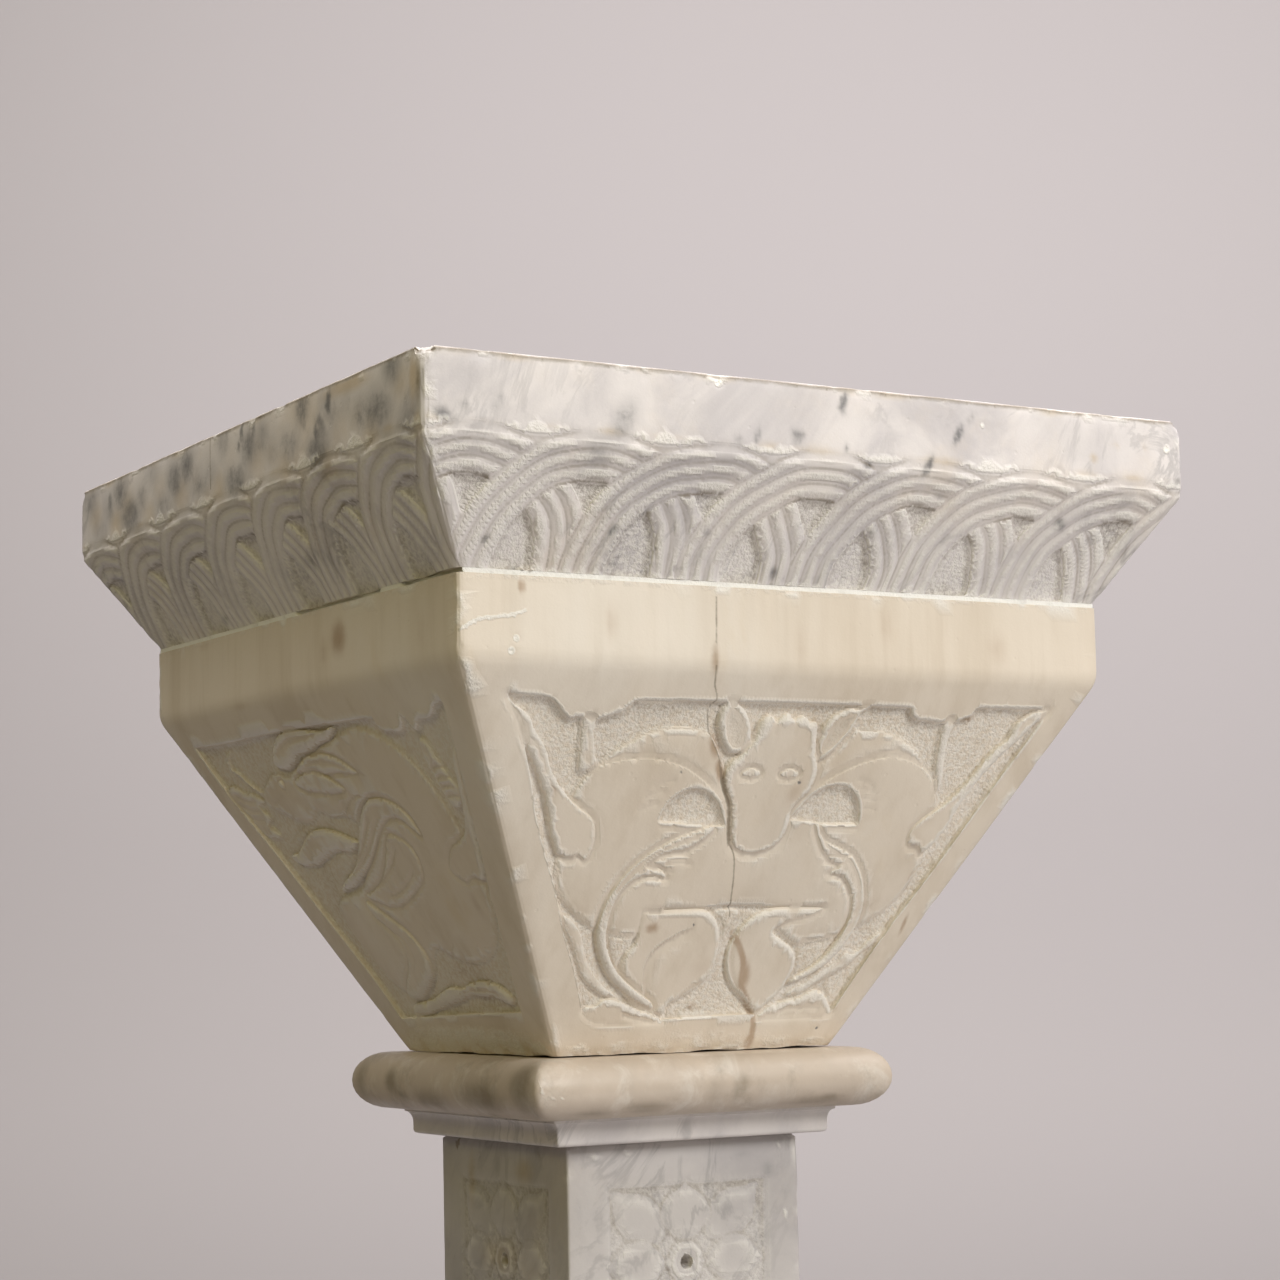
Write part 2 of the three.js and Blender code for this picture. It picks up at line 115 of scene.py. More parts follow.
class PEDESTAL_PG_colours(bpy.types.PropertyGroup):
    """Colours of the stones, the plaster and the iron."""

    white: colour("White marble", (0.80, 0.755, 0.74), "Abacus")
    grey: colour("Grey marble", (0.60, 0.565, 0.55), "Shaft, necking, base slab and plinth")
    vein: colour("Vein", (0.175, 0.17, 0.175), "Dark streaks and spots in the white and grey marble")
    cream: colour("Cream marble", (0.815, 0.725, 0.615), "Capital")
    streak: colour("Brown streak", (0.42, 0.28, 0.17), "Streaks and cracks in the cream marble")
    stained: colour("Stained marble", (0.57, 0.485, 0.405), "Half-round collars")
    # The grime colour is also the painted shade in the hollows and the painted shadow under the inner edges
    # of the arches.
    grime_and_shade: colour("Grime", (0.24, 0.19, 0.13), "Dirt in the hollows and under the edges")
    # The chalk colour is also the painted light along the capital's foot and the painted highlight on the
    # rosettes' rings.
    chalk_and_light: colour("Chalk", (0.92, 0.89, 0.84), "Freshly bruised stone")
    plaster: colour("Plaster", (0.97, 0.96, 0.93), "Bed joint and grout")
    iron: colour("Iron", (0.07, 0.055, 0.045), "Dowels")


class PEDESTAL_PG_studio(bpy.types.PropertyGroup):
    """The backdrop and the lights."""

    backdrop: colour("Backdrop", (0.52, 0.49, 0.50), "Painted floor and wall behind the column")
    key: power("Key light", 55, "Power of the large light")
    fill: power("Fill light", 4.3, "Power of the warm light")
    bounce: power("Bounce light", 9.0, "Power of the low light")
    wall: power("Wall light", 61, "Power of the light on the backdrop")
    lens: FloatProperty(name="Lens", description="Focal length of the camera", default=78.5, unit="CAMERA")


# ---- Drawing on a face ----


def through(points, closed=False, steps=5):
    """A smooth line through the points. A point given twice makes a corner."""
    p = np.array(points, float)
    if closed:
        before, after, last = np.roll(p, 1, 0), np.roll(p, -1, 0), np.roll(p, -2, 0)
    else:
        before = np.vstack([p[:1], p[:-2]])
        p, after, last = p[:-1], p[1:], np.vstack([p[2:], p[-1:]])
    line = []
    for a, b, c, d in zip(before, p, after, last):
        if np.allclose(b, c):
            continue
        start = (c - a) / 2 if not np.allclose(a, b) else (c - b) / 2
        end = (d - b) / 2 if not np.allclose(c, d) else (c - b) / 2
        for t in np.arange(steps) / steps:
            line.append(
                b * (1 + 2 * t) * (1 - t) ** 2 + c * t * t * (3 - 2 * t)
                + start * t * (1 - t) ** 2 - end * t * t * (1 - t)
            )
    if not closed:
        line.append(after[-1])
    return np.array(line)


def arc(centre, radius, first, last, steps=16):
    """Points of an arc from one angle to another, in degrees, clockwise on the face from the right."""
    angles = np.radians(np.linspace(first, last, steps))
    return [(centre[0] + radius * math.cos(a), centre[1] + radius * math.sin(a)) for a in angles]


def smooth(t):
    """Eases from 0 to 1 without a corner."""
    t = np.clip(t, 0, 1)
    return t * t * (3 - 2 * t)


DOME_RUN = 7.0  # how fast a domed form rises from its outline, in millimetres
CUT_FADE = 0.16  # share of a cut's length over which it runs out at each end
SMALL_DAB = 2.3  # a dab narrower than this gets a finer mesh


class Relief:
    """Heights over one face, cut in the order of the calls: 0 is the uncut face, cuts are negative."""

    def __init__(self, x, y):
        self.x, self.y = x, y
        self.hand = 1
        self.height = np.zeros(len(x))
        self.stipple = np.zeros(len(x))
        self.near = np.full(len(x), FAR)
        self.foot = np.stack([x, y], 1)
        self.marks = {kind: np.zeros(len(x)) for kind in MARKS}

    def mirror(self):
        """Turns what is drawn from here on left to right."""
        self.x, self.hand = -self.x, -self.hand
        self.foot[:, 0] *= -1

    def reach(self, line, margin):
        """The points within the line's box and the margin."""
        low, high = line.min(0) - margin, line.max(0) + margin
        within_x = (self.x > low[0]) & (self.x < high[0])
        within_y = (self.y > low[1]) & (self.y < high[1])
        return np.nonzero(within_x & within_y)[0]

    def measure(self, chosen, line, closed=False, covers=False):
        """Distance to the line, the side of it, the share of the way along it, and what lies inside."""
        start = line if closed else line[:-1]
        step = (np.roll(line, -1, 0) if closed else line[1:]) - start
        square = np.maximum((step**2).sum(1), 1e-9)
        dx = self.x[chosen, None] - start[:, 0]
        dy = self.y[chosen, None] - start[:, 1]
        along = np.clip((dx * step[:, 0] + dy * step[:, 1]) / square, 0, 1)
        gap = (dx - along * step[:, 0]) ** 2 + (dy - along * step[:, 1]) ** 2
        nearest = gap.argmin(1)
        row = np.arange(len(chosen))
        side = step[nearest, 0] * dy[row, nearest] - step[nearest, 1] * dx[row, nearest]
        way = (nearest + along[row, nearest]) / len(step)
        crossed = (dy < 0) != (dy - step[:, 1] < 0)
        rise = np.where(np.abs(step[:, 1]) < 1e-9, 1e-9, step[:, 1])
        inside = (crossed & (dx < dy * step[:, 0] / rise)).sum(1) % 2 == 1
        gap = np.sqrt(gap[row, nearest])
        self.note(chosen, gap, start[nearest] + along[row, nearest, None] * step[nearest], inside & covers)
        return gap, np.where(gap < 0.05, 0, np.sign(side)), way, inside

    def note(self, chosen, gap, foot, covered):
        """Keeps the nearest line to each point, and forgets those that a new form covers."""
        nearer = (gap < self.near[chosen]) | covered
        self.near[chosen] = np.where(nearer, gap, self.near[chosen])
        self.foot[chosen] = np.where(nearer[:, None], foot, self.foot[chosen])

    def pull(self):
        """The way from each point to the nearest line, in the face's own directions."""
        return (self.foot[:, 0] - self.x) * self.hand, self.foot[:, 1] - self.y

    def sink(self, outline, depth, wall=0.9, rough=1.0):
        """Cuts a sunk ground inside the outline."""
        line = through(outline, closed=True)
        chosen = self.reach(line, 1)
        gap, _, _, inside = self.measure(chosen, line, True, True)
        fall = np.where(inside, smooth(gap / wall), 0)
        self.height[chosen] = self.height[chosen] * (1 - fall) - depth * fall
        self.stipple[chosen] = np.maximum(self.stipple[chosen] * (1 - fall), rough * fall)

    def form(self, outline, level, edge=2.2, moat=0.0, run=4.0, dome=0.0):
        """Leaves a rounded form standing inside the outline, with the stone sloped down to it outside."""
        line = through(outline, closed=True)
        chosen = self.reach(line, run)
        gap, _, _, inside = self.measure(chosen, line, True, True)
        foot = self.height[chosen] - moat * (1 - np.clip(gap / run, 0, 1)) ** 2
        rise = np.where(inside, np.sqrt(1 - (1 - np.clip(gap / edge, 0, 1)) ** 2), 0)
        top = level - dome * np.exp(-gap / DOME_RUN)
        self.height[chosen] = foot + (top - foot) * rise
        self.stipple[chosen] *= 1 - rise

    def cut(self, path, depth, width, side=0):
        """Cuts along a path: a groove, or with a side a slope down to an upright edge along the path."""
        line = through(path)
        chosen = self.reach(line, width)
        gap, hand, way, _ = self.measure(chosen, line)
        fade = smooth(np.minimum(way, 1 - way) / CUT_FADE)
        slope = (1 - np.clip(gap / width, 0, 1)) ** 2
        if side:
            slope = np.where(hand == side, slope, 0)
        self.height[chosen] -= depth * slope * fade

    def gouge(self, centre, size, depth, chalk_and_light=1.0):
        """Knocks a small shallow hollow out of the face and leaves it bruised."""
        gap = np.hypot(self.x - centre[0], self.y - centre[1])
        self.height -= depth * np.clip(1 - (gap / size) ** 2, 0, 1)
        self.marks["chalk_and_light"] = np.maximum(self.marks["chalk_and_light"], chalk_and_light * np.clip(1.3 - gap / size, 0, 1))
        self.near = np.minimum(self.near, np.maximum(gap - size, 0.4))

    def finest(self, centre, size):
        """Asks for a still finer mesh round a small detail."""
        self.near = np.where(np.hypot(self.x - centre[0], self.y - centre[1]) < size, -1, self.near)

    def dab(self, kind, centre, size, turn=0.0, strength=1.0):
        """A soft oval mark in the stone, turned by degrees."""
        c, s = math.cos(math.radians(turn)), math.sin(math.radians(turn))
        dx, dy = self.x - centre[0], self.y - centre[1]
        across, along = (dx * c + dy * s) / size[0], (dy * c - dx * s) / size[1]
        reach = np.hypot(across, along)
        self.marks[kind] = np.maximum(self.marks[kind], strength * np.exp(-1.4 * reach**2))
        closest = 1.5 if min(size) < SMALL_DAB else 4
        self.near = np.minimum(self.near, np.maximum((reach - 1.2) * min(size), closest))

    def dabs(self, kind, marks):
        """Marks of one kind, each given by its place, its size, its turn and its strength."""
        for mark in marks:
            self.dab(kind, *mark)

    def line(self, kind, path, width, strength=1.0):
        """A mark along a path, such as a crack."""
        way = through(path)
        chosen = self.reach(way, width * 3)
        gap = self.measure(chosen, way)[0]
        values = strength * np.clip(1.5 - gap / width, 0, 1)
        self.marks[kind][chosen] = np.maximum(self.marks[kind][chosen], values)


# ---- The two-bodied beast, on the front and the back of the capital ----

TREE_LEFT = [
    (-117, 16.3), (-112, 18.5), (-107.5, 23), (-104, 25.2), (-100, 24.6), (-98, 24.6), (-98, 24.6),
    (-91, 25.8), (-91, 25.8), (-88, 24.4), (-84, 23), (-80.5, 22), (-77.5, 18.5), (-73, 16.4),
]
TREE_RIGHT = [
    (61, 15.8), (63.5, 18.5), (67, 21.2), (72, 21.4), (77, 22), (82, 22), (82, 22),
    (88.5, 21.8), (88.5, 21.8), (92, 20.2), (95.5, 19), (98.5, 15),
]
BEAST_GROUND = [
    (-135, 15), (-135, 15), (-126, 15.6), *TREE_LEFT, (-60, 16.2), (-30, 15.9), (0, 15.4), (40, 15.7),
    *TREE_RIGHT, (115, 14.7), (138, 14.3), (138, 14.3), (131, 30), (121, 50), (112, 69), (103, 88),
    (94, 106), (86, 121), (79, 136), (73, 150), (67, 165), (67, 165), (45, 167), (20, 166), (0, 166),
    (-20, 167), (-45, 166.5), (-63, 163), (-63, 163), (-72, 143), (-82, 124), (-91, 104), (-99, 89),
    (-108, 71), (-116, 51), (-126, 29),
]
BEAST_BODIES = [
    (-33, 31.5), (-39, 28.8), (-47, 27.6), (-57, 28), (-66, 30.6), (-74, 35), (-81, 40.5), (-87, 46.5),
    (-91.5, 53), (-94, 62), (-94, 78), (-93, 92), (-90, 103), (-83, 111.5), (-75, 118), (-67, 122.5),
    (-56, 125.5), (-45, 127), (-30, 125.5), (-20, 120.5), (-13, 113.5), (-5, 112), (6, 112), (18, 113),
    (23, 119.5), (29, 126.5), (38, 132), (38, 132), (50, 129.6), (61, 127), (70, 122.5), (78, 117.5),
    (85, 110.5), (90, 103), (93, 92), (94, 78), (93.5, 64), (91, 57), (86.5, 49.5), (80, 42),
    (72, 35), (63, 30), (54, 27), (45, 26), (37, 26.6), (37, 26.6), (33, 32), (27, 38.5), (20, 44),
    (0, 50), (-22, 46), (-28, 38),
]
WINDOW_LEFT = [
    (-50.5, 72), (-50.5, 72), (-49, 65.5), (-46, 60.5), (-41.5, 57), (-36, 55.8), (-30.5, 56.5),
    (-25.5, 59.5), (-21.5, 63.5), (-18.5, 68.5), (-15.5, 74), (-15.5, 74), (-30, 73.4),
]
WINDOW_RIGHT = [
    (15, 70.5), (15, 70.5), (18.5, 65), (22, 60), (26.5, 56), (31.5, 53.6), (37, 53), (42, 54.2),
    (46.5, 57.5), (49.5, 61.5), (51.5, 67), (52.5, 72.5), (52.5, 72.5), (36, 72.6), (26, 71.4),
]
HEAD = [
    (-13, 27), (-12, 23.5), (-8, 20.8), (-4.5, 23.6), (-4.5, 23.6), (0, 19.6), (4.5, 22.8), (4.5, 22.8),
    (8.5, 20.8), (13, 23.6), (13, 23.6), (17, 24), (18.5, 30), (20, 37), (22.5, 43), (23.5, 49),
    (22, 57), (18, 61.5), (15.5, 66), (16, 71), (15.5, 76.5), (13, 81.5), (8, 85.2), (0, 86.6),
    (-6, 85.6), (-10.5, 82.5), (-13, 77), (-15, 69), (-17.5, 62), (-21.5, 56), (-23.5, 50), (-22.5, 44),
    (-17.5, 38.5), (-14, 33),
]
EAR_LEFT = [
    (-32, 16), (-25.5, 16.4), (-20.5, 20), (-17, 25), (-14.5, 30.5), (-13.5, 36), (-17.5, 39.4),
    (-23, 39.8), (-27.5, 36.5), (-31, 31), (-33.8, 24),
]
EAR_LEFT_HOLLOW = [
    (-29, 19), (-25, 20.5), (-21, 25.5), (-18.5, 31), (-18.5, 36), (-23, 37.4), (-27, 33), (-30, 26),
]
EAR_RIGHT = [
    (19, 32), (19.5, 26.5), (22.5, 21.5), (27.5, 18), (34, 16.4), (43, 15.8), (38, 20), (35, 28),
    (32, 33), (28.5, 37.5), (24.5, 41.5), (21.5, 42.5), (19.8, 38),
]
EAR_RIGHT_HOLLOW = [
    (21.6, 37.6), (21.8, 31), (24.5, 25.2), (29.5, 21), (35.5, 19.6), (34, 26), (31, 31.5), (26, 37.4),
]
TAIL_LEFT = [
    (-22, 73), (-30, 75.6), (-38, 78.6), (-46, 83), (-54, 89), (-60.5, 96.5), (-64.5, 105), (-66.5, 114),
    (-66, 124), (-62, 134), (-55.5, 144), (-47, 151.5), (-37, 158), (-28, 161.5), (-30, 157.5),
    (-38, 152.5), (-46, 146.5), (-53, 139), (-58.5, 130), (-61, 121), (-61, 112), (-58.5, 104.5),
    (-53.5, 99), (-46, 96.8), (-38, 98.5), (-43, 93.5), (-50, 92.5), (-43, 87), (-33, 85),
    (-26, 81), (-21.5, 76),
]
TAIL_RIGHT = [
    (31, 70.8), (34, 76.5), (39, 80.6), (46, 83.4), (53, 86.6), (58.5, 92), (63.5, 99.5), (66.8, 108),
    (67.8, 117), (66, 127), (61.5, 136.5), (54.5, 144), (46, 149), (39, 151.5), (40.5, 147.5),
    (48, 143), (54.5, 136.5), (59, 128), (61.2, 118), (59.8, 109.5), (56, 102.5), (50.5, 98),
    (43.5, 96.2), (48, 92.8), (42.5, 90), (37, 85.5), (33, 79.5), (29.5, 72.5),
]
HAUNCH_LEFT = [
    (-46, 114), (-46, 114), (-30, 113), (-15, 113), (-9, 116), (-5, 121), (-2.6, 127.5), (-1.2, 135),
    (-1.8, 142.5), (-4.6, 148.8), (-9.5, 153.2), (-15, 156.8), (-20, 160), (-22, 165), (-31, 164),
    (-31, 164), (-40, 157.5), (-46.5, 150), (-49.8, 141.5), (-49.2, 134), (-45.5, 128),
]
HAUNCH_RIGHT = [
    (48, 113), (48, 113), (34, 112.4), (20, 112.8), (13, 115), (7.6, 119.6), (4.2, 125.5), (2.6, 133),
    (3.4, 140.5), (6.5, 147.5), (11.5, 153.5), (17.5, 158.5), (23, 163.5), (27, 168), (27, 168),
    (31, 162), (35.6, 156.5), (39, 151), (40.6, 144.5), (40.2, 138), (36.5, 132.6), (30.5, 128.6),
    (24.5, 124.4), (30, 120), (42, 117),
]
LEAF_LEFT = [
    (-135, 16.5), (-130, 19.5), (-122, 24.5), (-118.5, 30), (-113.5, 35.5), (-110, 40), (-107.5, 45.5),
    (-103, 52), (-97, 58.4), (-89.5, 64.8), (-82.5, 69.4), (-79, 75), (-77.8, 83), (-80, 90),
    (-84, 88), (-89, 88.4), (-94, 87), (-94, 87), (-99, 78.5), (-103, 70), (-106.5, 61), (-110.5, 53.5),
    (-116.5, 44.5), (-122.5, 36), (-128, 26),
]
LEAF_RIGHT = [
    (138, 15), (131, 15.6), (126.5, 18), (121.5, 22.5), (120, 29), (115, 34), (110, 41), (105.5, 49),
    (100.5, 56), (94.5, 62.6), (88, 67.4), (83, 72), (80.6, 77), (82, 82.6), (87.5, 83.6), (91, 86.5),
    (95.6, 83), (99, 78), (102.5, 69.5), (106, 60.5), (111, 50.5), (117, 41.5), (124, 33), (131.5, 24.5),
]
STEM_LEFT = [
    (-98, 23), (-91.2, 24), (-90, 32), (-87.6, 40), (-85.5, 46), (-93, 50), (-95.6, 41), (-97.2, 32),
]
STEM_RIGHT = [
    (82, 20), (88.6, 20), (88.4, 30), (89.4, 40), (91.5, 50), (90, 56), (86, 48), (84, 39), (82.8, 30),
]
FROND_LEFT = [
    (-90, 105), (-84, 113.5), (-78, 117.5), (-72.5, 124), (-69, 131.5), (-64.5, 139.5), (-58.5, 146),
    (-52.5, 151), (-44, 156.5), (-52, 155.5), (-59.5, 151.5), (-66.5, 146), (-71, 139), (-76, 130),
    (-82, 121.5), (-87.5, 112.5),
]
FROND_RIGHT = [
    (90, 110), (86, 118), (83, 124), (79.5, 126.5), (75, 130.5), (72, 134.4), (65.5, 135.5), (62, 139.5),
    (56, 143.5), (49, 149.5), (42, 153.5), (40, 157), (48, 156), (54.5, 151.5), (60, 148.5), (66, 144.5),
    (70, 142), (74.5, 136.5), (80, 132), (85, 124),
]
FOOT_LEFT = [
    (-64, 161), (-57, 156.5), (-49, 155.4), (-41, 158.5), (-33, 162), (-24, 165), (-22, 168.5),
    (-40, 168), (-56, 167),
]
FOOT_RIGHT = [
    (27, 167), (32, 161.5), (39, 159.5), (47, 157.5), (54.5, 154), (60, 156), (64.5, 161), (66.5, 167),
    (48, 168.5), (34, 168.5),
]
LAP_LEFT = [(-48, 131), (-49.4, 139), (-46, 147.5), (-39, 155), (-31, 161)]


NECK_FOLDS = (
    # Path of the fold along each neck, and the side on which the stone slopes down to it.
    ([(-88, 49), (-80, 45.4), (-70, 43.6), (-60, 43.2), (-50, 44.8), (-40, 48.4), (-30, 54.6),
      (-22, 61)], -1),
    ([(88, 52), (80, 45.8), (70, 41.6), (60, 40.2), (50, 41.8), (40, 45.6), (30, 51.4), (22, 58)], 1),
)
BELLY = [(-47, 112.8), (-30, 112.2), (0, 111.4), (30, 111.8), (50, 112.4)]
BELLY_GAPS = (
    # Outline, depth and slope of the gaps under the bellies.
    ([(-60, 124.5), (-60, 124.5), (-52, 126), (-46, 126.8), (-47.5, 131), (-49.6, 138), (-49, 143.5),
      (-53.5, 139), (-57.5, 131.5)], 2.2, 1.4),
    ([(38.5, 131.5), (38.5, 131.5), (50, 129.6), (61, 127), (61, 127), (57.5, 135.5), (51, 142),
      (43, 147), (40.5, 141)], 2.6, 1.4),
    ([(-3.4, 150.5), (-3.4, 150.5), (1.5, 155), (8, 158.6), (14.5, 161.5), (20.5, 166), (20.5, 166),
      (0, 166.4), (-20.5, 167), (-20.5, 167), (-19.5, 160.5), (-12, 156), (-6.5, 153)], 2.8, 1.4),
    ([(0, 112), (4.5, 114.5), (1.5, 122), (-1, 129), (-4, 120), (-9, 114)], 2.2, 1.6),
)
FOOT_GAPS = (
    [(-66, 147.5), (-66, 147.5), (-60, 152), (-53, 156), (-53, 156), (-58, 160), (-63.5, 158)],
    [(56.5, 150), (56.5, 150), (63, 147), (69.5, 143.6), (69.5, 143.6), (70.4, 153), (67, 163), (62, 157.5)],
)
THIGH = [
    (-16, 121), (-23, 123.5), (-30, 127.6), (-35.6, 132.6), (-38.2, 139), (-37.6, 147), (-34, 155),
    (-29, 162),
]
HAUNCH_LINES = (
    # Path, depth and width.
    (LAP_LEFT, 0.5, 2.4),
    ([(6, 122), (4.6, 134), (8, 145), (14, 154)], 0.45, 2.2),
    ([(-16.5, 156.6), (-11, 151.6), (-5, 149)], 0.7, 2.0),
)
WINDOW_SILLS = ([(-50, 73), (-40, 73.6), (-30, 74)], [(36, 73), (44, 73.4), (53, 73)])
TAIL_LINES = (
    [(-25, 77), (-34, 80.6), (-43, 84.6), (-51, 90), (-57, 97), (-61, 105)],
    [(33, 74), (38, 82), (46, 86.6), (53, 90.5), (59, 97.5), (63.5, 106)],
)
TAIL_TUFTS = (
    [(-45, 88.6), (-38, 87), (-29, 87.2)], [(-41.5, 91.6), (-35, 90.6), (-27, 91.8)],
    [(-49, 95.4), (-42, 94), (-35, 95.6)], [(-54, 100), (-47, 97.4), (-39, 99)],
    [(38, 90), (45, 91.8), (52, 90.8)], [(39, 87), (47, 88), (54, 87.6)],
    [(45, 96.4), (51, 98), (55.5, 101.5)], [(52, 107), (54, 101), (58.5, 108)],
)
MANE_STROKES = (
    [(44, 50.5), (50, 51.6), (56, 55)], [(47, 54.6), (52, 55.4), (58, 57.6)],
    [(50, 59.4), (54, 59.6), (59, 61.2)], [(51.5, 64), (56, 64.2), (60, 65.6)],
    [(-46, 52), (-52, 53.4), (-57, 56.4)], [(-49.5, 57), (-55, 58.4), (-60, 61)],
    [(-51.5, 63), (-57, 64.6), (-62, 67.4)],
)
EYE_PLACES = (-10.8, 8.6)
EYE_LEVEL = 48.6
EYE_RADIUS = 5.4
EYE_FLATNESS = 0.48


def two_bodied_beast(relief, ground):
    """One head between two bodies that share it, among leaves, on a stippled ground."""
    relief.sink(BEAST_GROUND, ground)
    beast_leaves_and_bodies(relief)
    beast_haunches_and_feet(relief)
    beast_windows_and_tails(relief, ground)
    beast_head(relief)


def beast_leaves_and_bodies(relief):
    """The stems, fronds and leaves at the sides, behind the bodies and in front of them."""
    for stem in (STEM_LEFT, STEM_RIGHT):
        relief.form(stem, -0.9, edge=2.4)
    for frond in (FROND_LEFT, FROND_RIGHT):
        relief.form(frond, -1.1, edge=2.4)
    for leaf in (LEAF_LEFT, LEAF_RIGHT):
        relief.form(leaf, -0.9, edge=2.0)
    relief.form(BEAST_BODIES, -0.5, edge=2.6, dome=1.2)
    for path, side in NECK_FOLDS:
        relief.cut(path, 1.0, 5.5, side=side)
    for leaf in (LEAF_LEFT, LEAF_RIGHT):
        relief.form(leaf, -0.35, edge=2.2, moat=0.8, run=3.5)


def beast_haunches_and_feet(relief):
    """The line of the bellies, the gaps under it, the two haunches and the feet."""
    relief.cut(BELLY, 1.5, 5.0, side=1)
    for outline, depth, wall in BELLY_GAPS:
        relief.sink(outline, depth, wall=wall)
    relief.form(HAUNCH_RIGHT, -0.55, edge=3.4, moat=0.5, run=3.0)
    relief.form(HAUNCH_LEFT, -0.75, edge=3.4, moat=0.4, run=3.0)
    relief.cut(THIGH, 1.3, 9.0, side=-1)
    for path, depth, width in HAUNCH_LINES:
        relief.cut(path, depth, width)
    for foot in (FOOT_LEFT, FOOT_RIGHT):
        relief.form(foot, -0.5, edge=2.4, moat=0.7, run=2.6)
    for outline in FOOT_GAPS:
        relief.sink(outline, 2.8, wall=1.4)
    for x in (38, 47):
        relief.cut([(x, 166), (x + 5, 163), (x + 13, 164)], 0.6, 2.0)
    relief.cut([(-44, 163.5), (-36, 166), (-26, 167.6)], 0.9, 2.6)


def beast_windows_and_tails(relief, ground):
    """The windows between neck and breast, the tails that come out of them, and the strokes of hair."""
    for window in (WINDOW_LEFT, WINDOW_RIGHT):
        relief.sink(window, ground, wall=1.3)
    for sill in WINDOW_SILLS:
        relief.cut(sill, 0.8, 3.6, side=1)
    for tail in (TAIL_LEFT, TAIL_RIGHT):
        relief.form(tail, -0.12, edge=2.3, moat=1.0, run=3.2)
    for path in TAIL_LINES:
        relief.cut(path, 0.45, 1.6)
    for stroke in TAIL_TUFTS:
        relief.cut(stroke, 0.55, 1.8)
    for stroke in MANE_STROKES:
        relief.cut(stroke, 0.4, 2.4)


def beast_head(relief):
    """The shared head in front of everything, with its ears and eyes."""
    for ear, hollow in ((EAR_LEFT, EAR_LEFT_HOLLOW), (EAR_RIGHT, EAR_RIGHT_HOLLOW)):
        relief.form(ear, -0.3, edge=1.8, moat=0.5, run=2.6)
        relief.sink(hollow, 1.1, wall=2.4, rough=0.35)
    relief.form(HEAD, -0.02, edge=2.8, moat=1.1, run=5.0)
    for x in EYE_PLACES:
        eye = arc((x, EYE_LEVEL), EYE_RADIUS, 0, 360, 10)[:-1]
        flat = [(px, EYE_LEVEL + (py - EYE_LEVEL) * EYE_FLATNESS) for px, py in eye]
        relief.form(flat, 0.0, edge=2.0, moat=0.9, run=2.2)
        relief.cut([(x - 6.4, 49.6), (x, 45), (x + 6.4, 49.4)], 0.35, 1.8)
    relief.cut([(-6, 23.6), (-4.6, 27), (-4, 31)], 0.35, 1.6)
    relief.cut([(4.6, 23), (5.4, 27), (5, 31)], 0.35, 1.6)
    relief.cut([(-9, 80), (0, 83.2), (10, 80.4)], 0.18, 2.4)


CAPITAL_STAINS_LEFT = (
    # Place, size across and along, turn and strength of the brown stains.
    ((50, -18), (10, 9), 0, 0.9), ((35, -14), (6, 10), 0, 0.5), ((-30, -34), (14, 2), 0, 0.5),
    ((-100, -30), (12, 3), 0, 0.4), ((130, -12), (8, 14), 0, 0.4), ((-60, 2), (18, 3), 0, 0.4),
    ((20, 142), (16, 4), 0, 0.5), ((70, 110), (5, 12), 0, 0.4),
)
CAPITAL_STAINS_FRONT = (
    ((-31.5, 36), (3.4, 8), -22, 1.0), ((-26, 47), (3.0, 7), -20, 1.0), ((14.5, 146), (3.6, 9), -10, 0.9),
    ((95.8, 20.5), (4, 2.6), 0, 0.9), ((-8.5, 161.4), (4, 2), 0, 0.8), ((89, 100), (1.6, 7), 10, 0.8),
    ((92, 122), (1.4, 7), 8, 0.9), ((-39.5, 122), (4, 3), 0, 0.9), ((26, 180), (3.4, 5), 0, 0.9),
    ((-132, -28), (2, 3.6), 0, 0.9), ((44, -20), (4, 13), 0, 0.5), ((-91, -15), (4, 13), 0, 0.45),
    ((-42, -2), (2.4, 9), 0, 0.7), ((104, -12), (9, 12), 0, 0.4), ((0, -10), (6, 14), 0, 0.35),
    ((-104, 57), (2, 4), -20, 0.7), ((13, 58), (5, 9), 20, 0.4), ((-10, 141), (8, 9), 0, 0.35),
    ((-32, 140), (3, 8), 0, 0.4), ((70, 112), (10, 5), -30, 0.35),
)
CAPITAL_PITS = (
    # Place and radius.
    ((14.8, 52.7), 0.9), ((-18.6, 120.5), 0.6), ((-45.2, 48.4), 0.6), ((60.7, 174), 0.8), ((-51, 94), 0.5),
)
HAIRLINE = [
    (-41, -28), (-41.6, -14), (-41.8, -2), (-40.5, 8), (-37.6, 14.6), (-38.4, 21), (-34, 33), (-27, 43),
    (-23, 54), (-16.2, 66), (-13.5, 79), (-8.5, 86), (-5.3, 97), (-3.1, 108), (-0.5, 117),
]
HAIRLINE_BESIDE_HEAD = [(-27, 43), (-22.6, 54), (-17, 64), (-14.4, 74), (-12, 82)]
HAIRLINE_STAIN = [(2.7, 125), (11.5, 138), (14.4, 151), (24.4, 166), (27, 178)]
SCRATCH = [(-161, -9), (-153, -13.4), (-146.6, -15), (-138.6, -16), (-131, -18.3)]


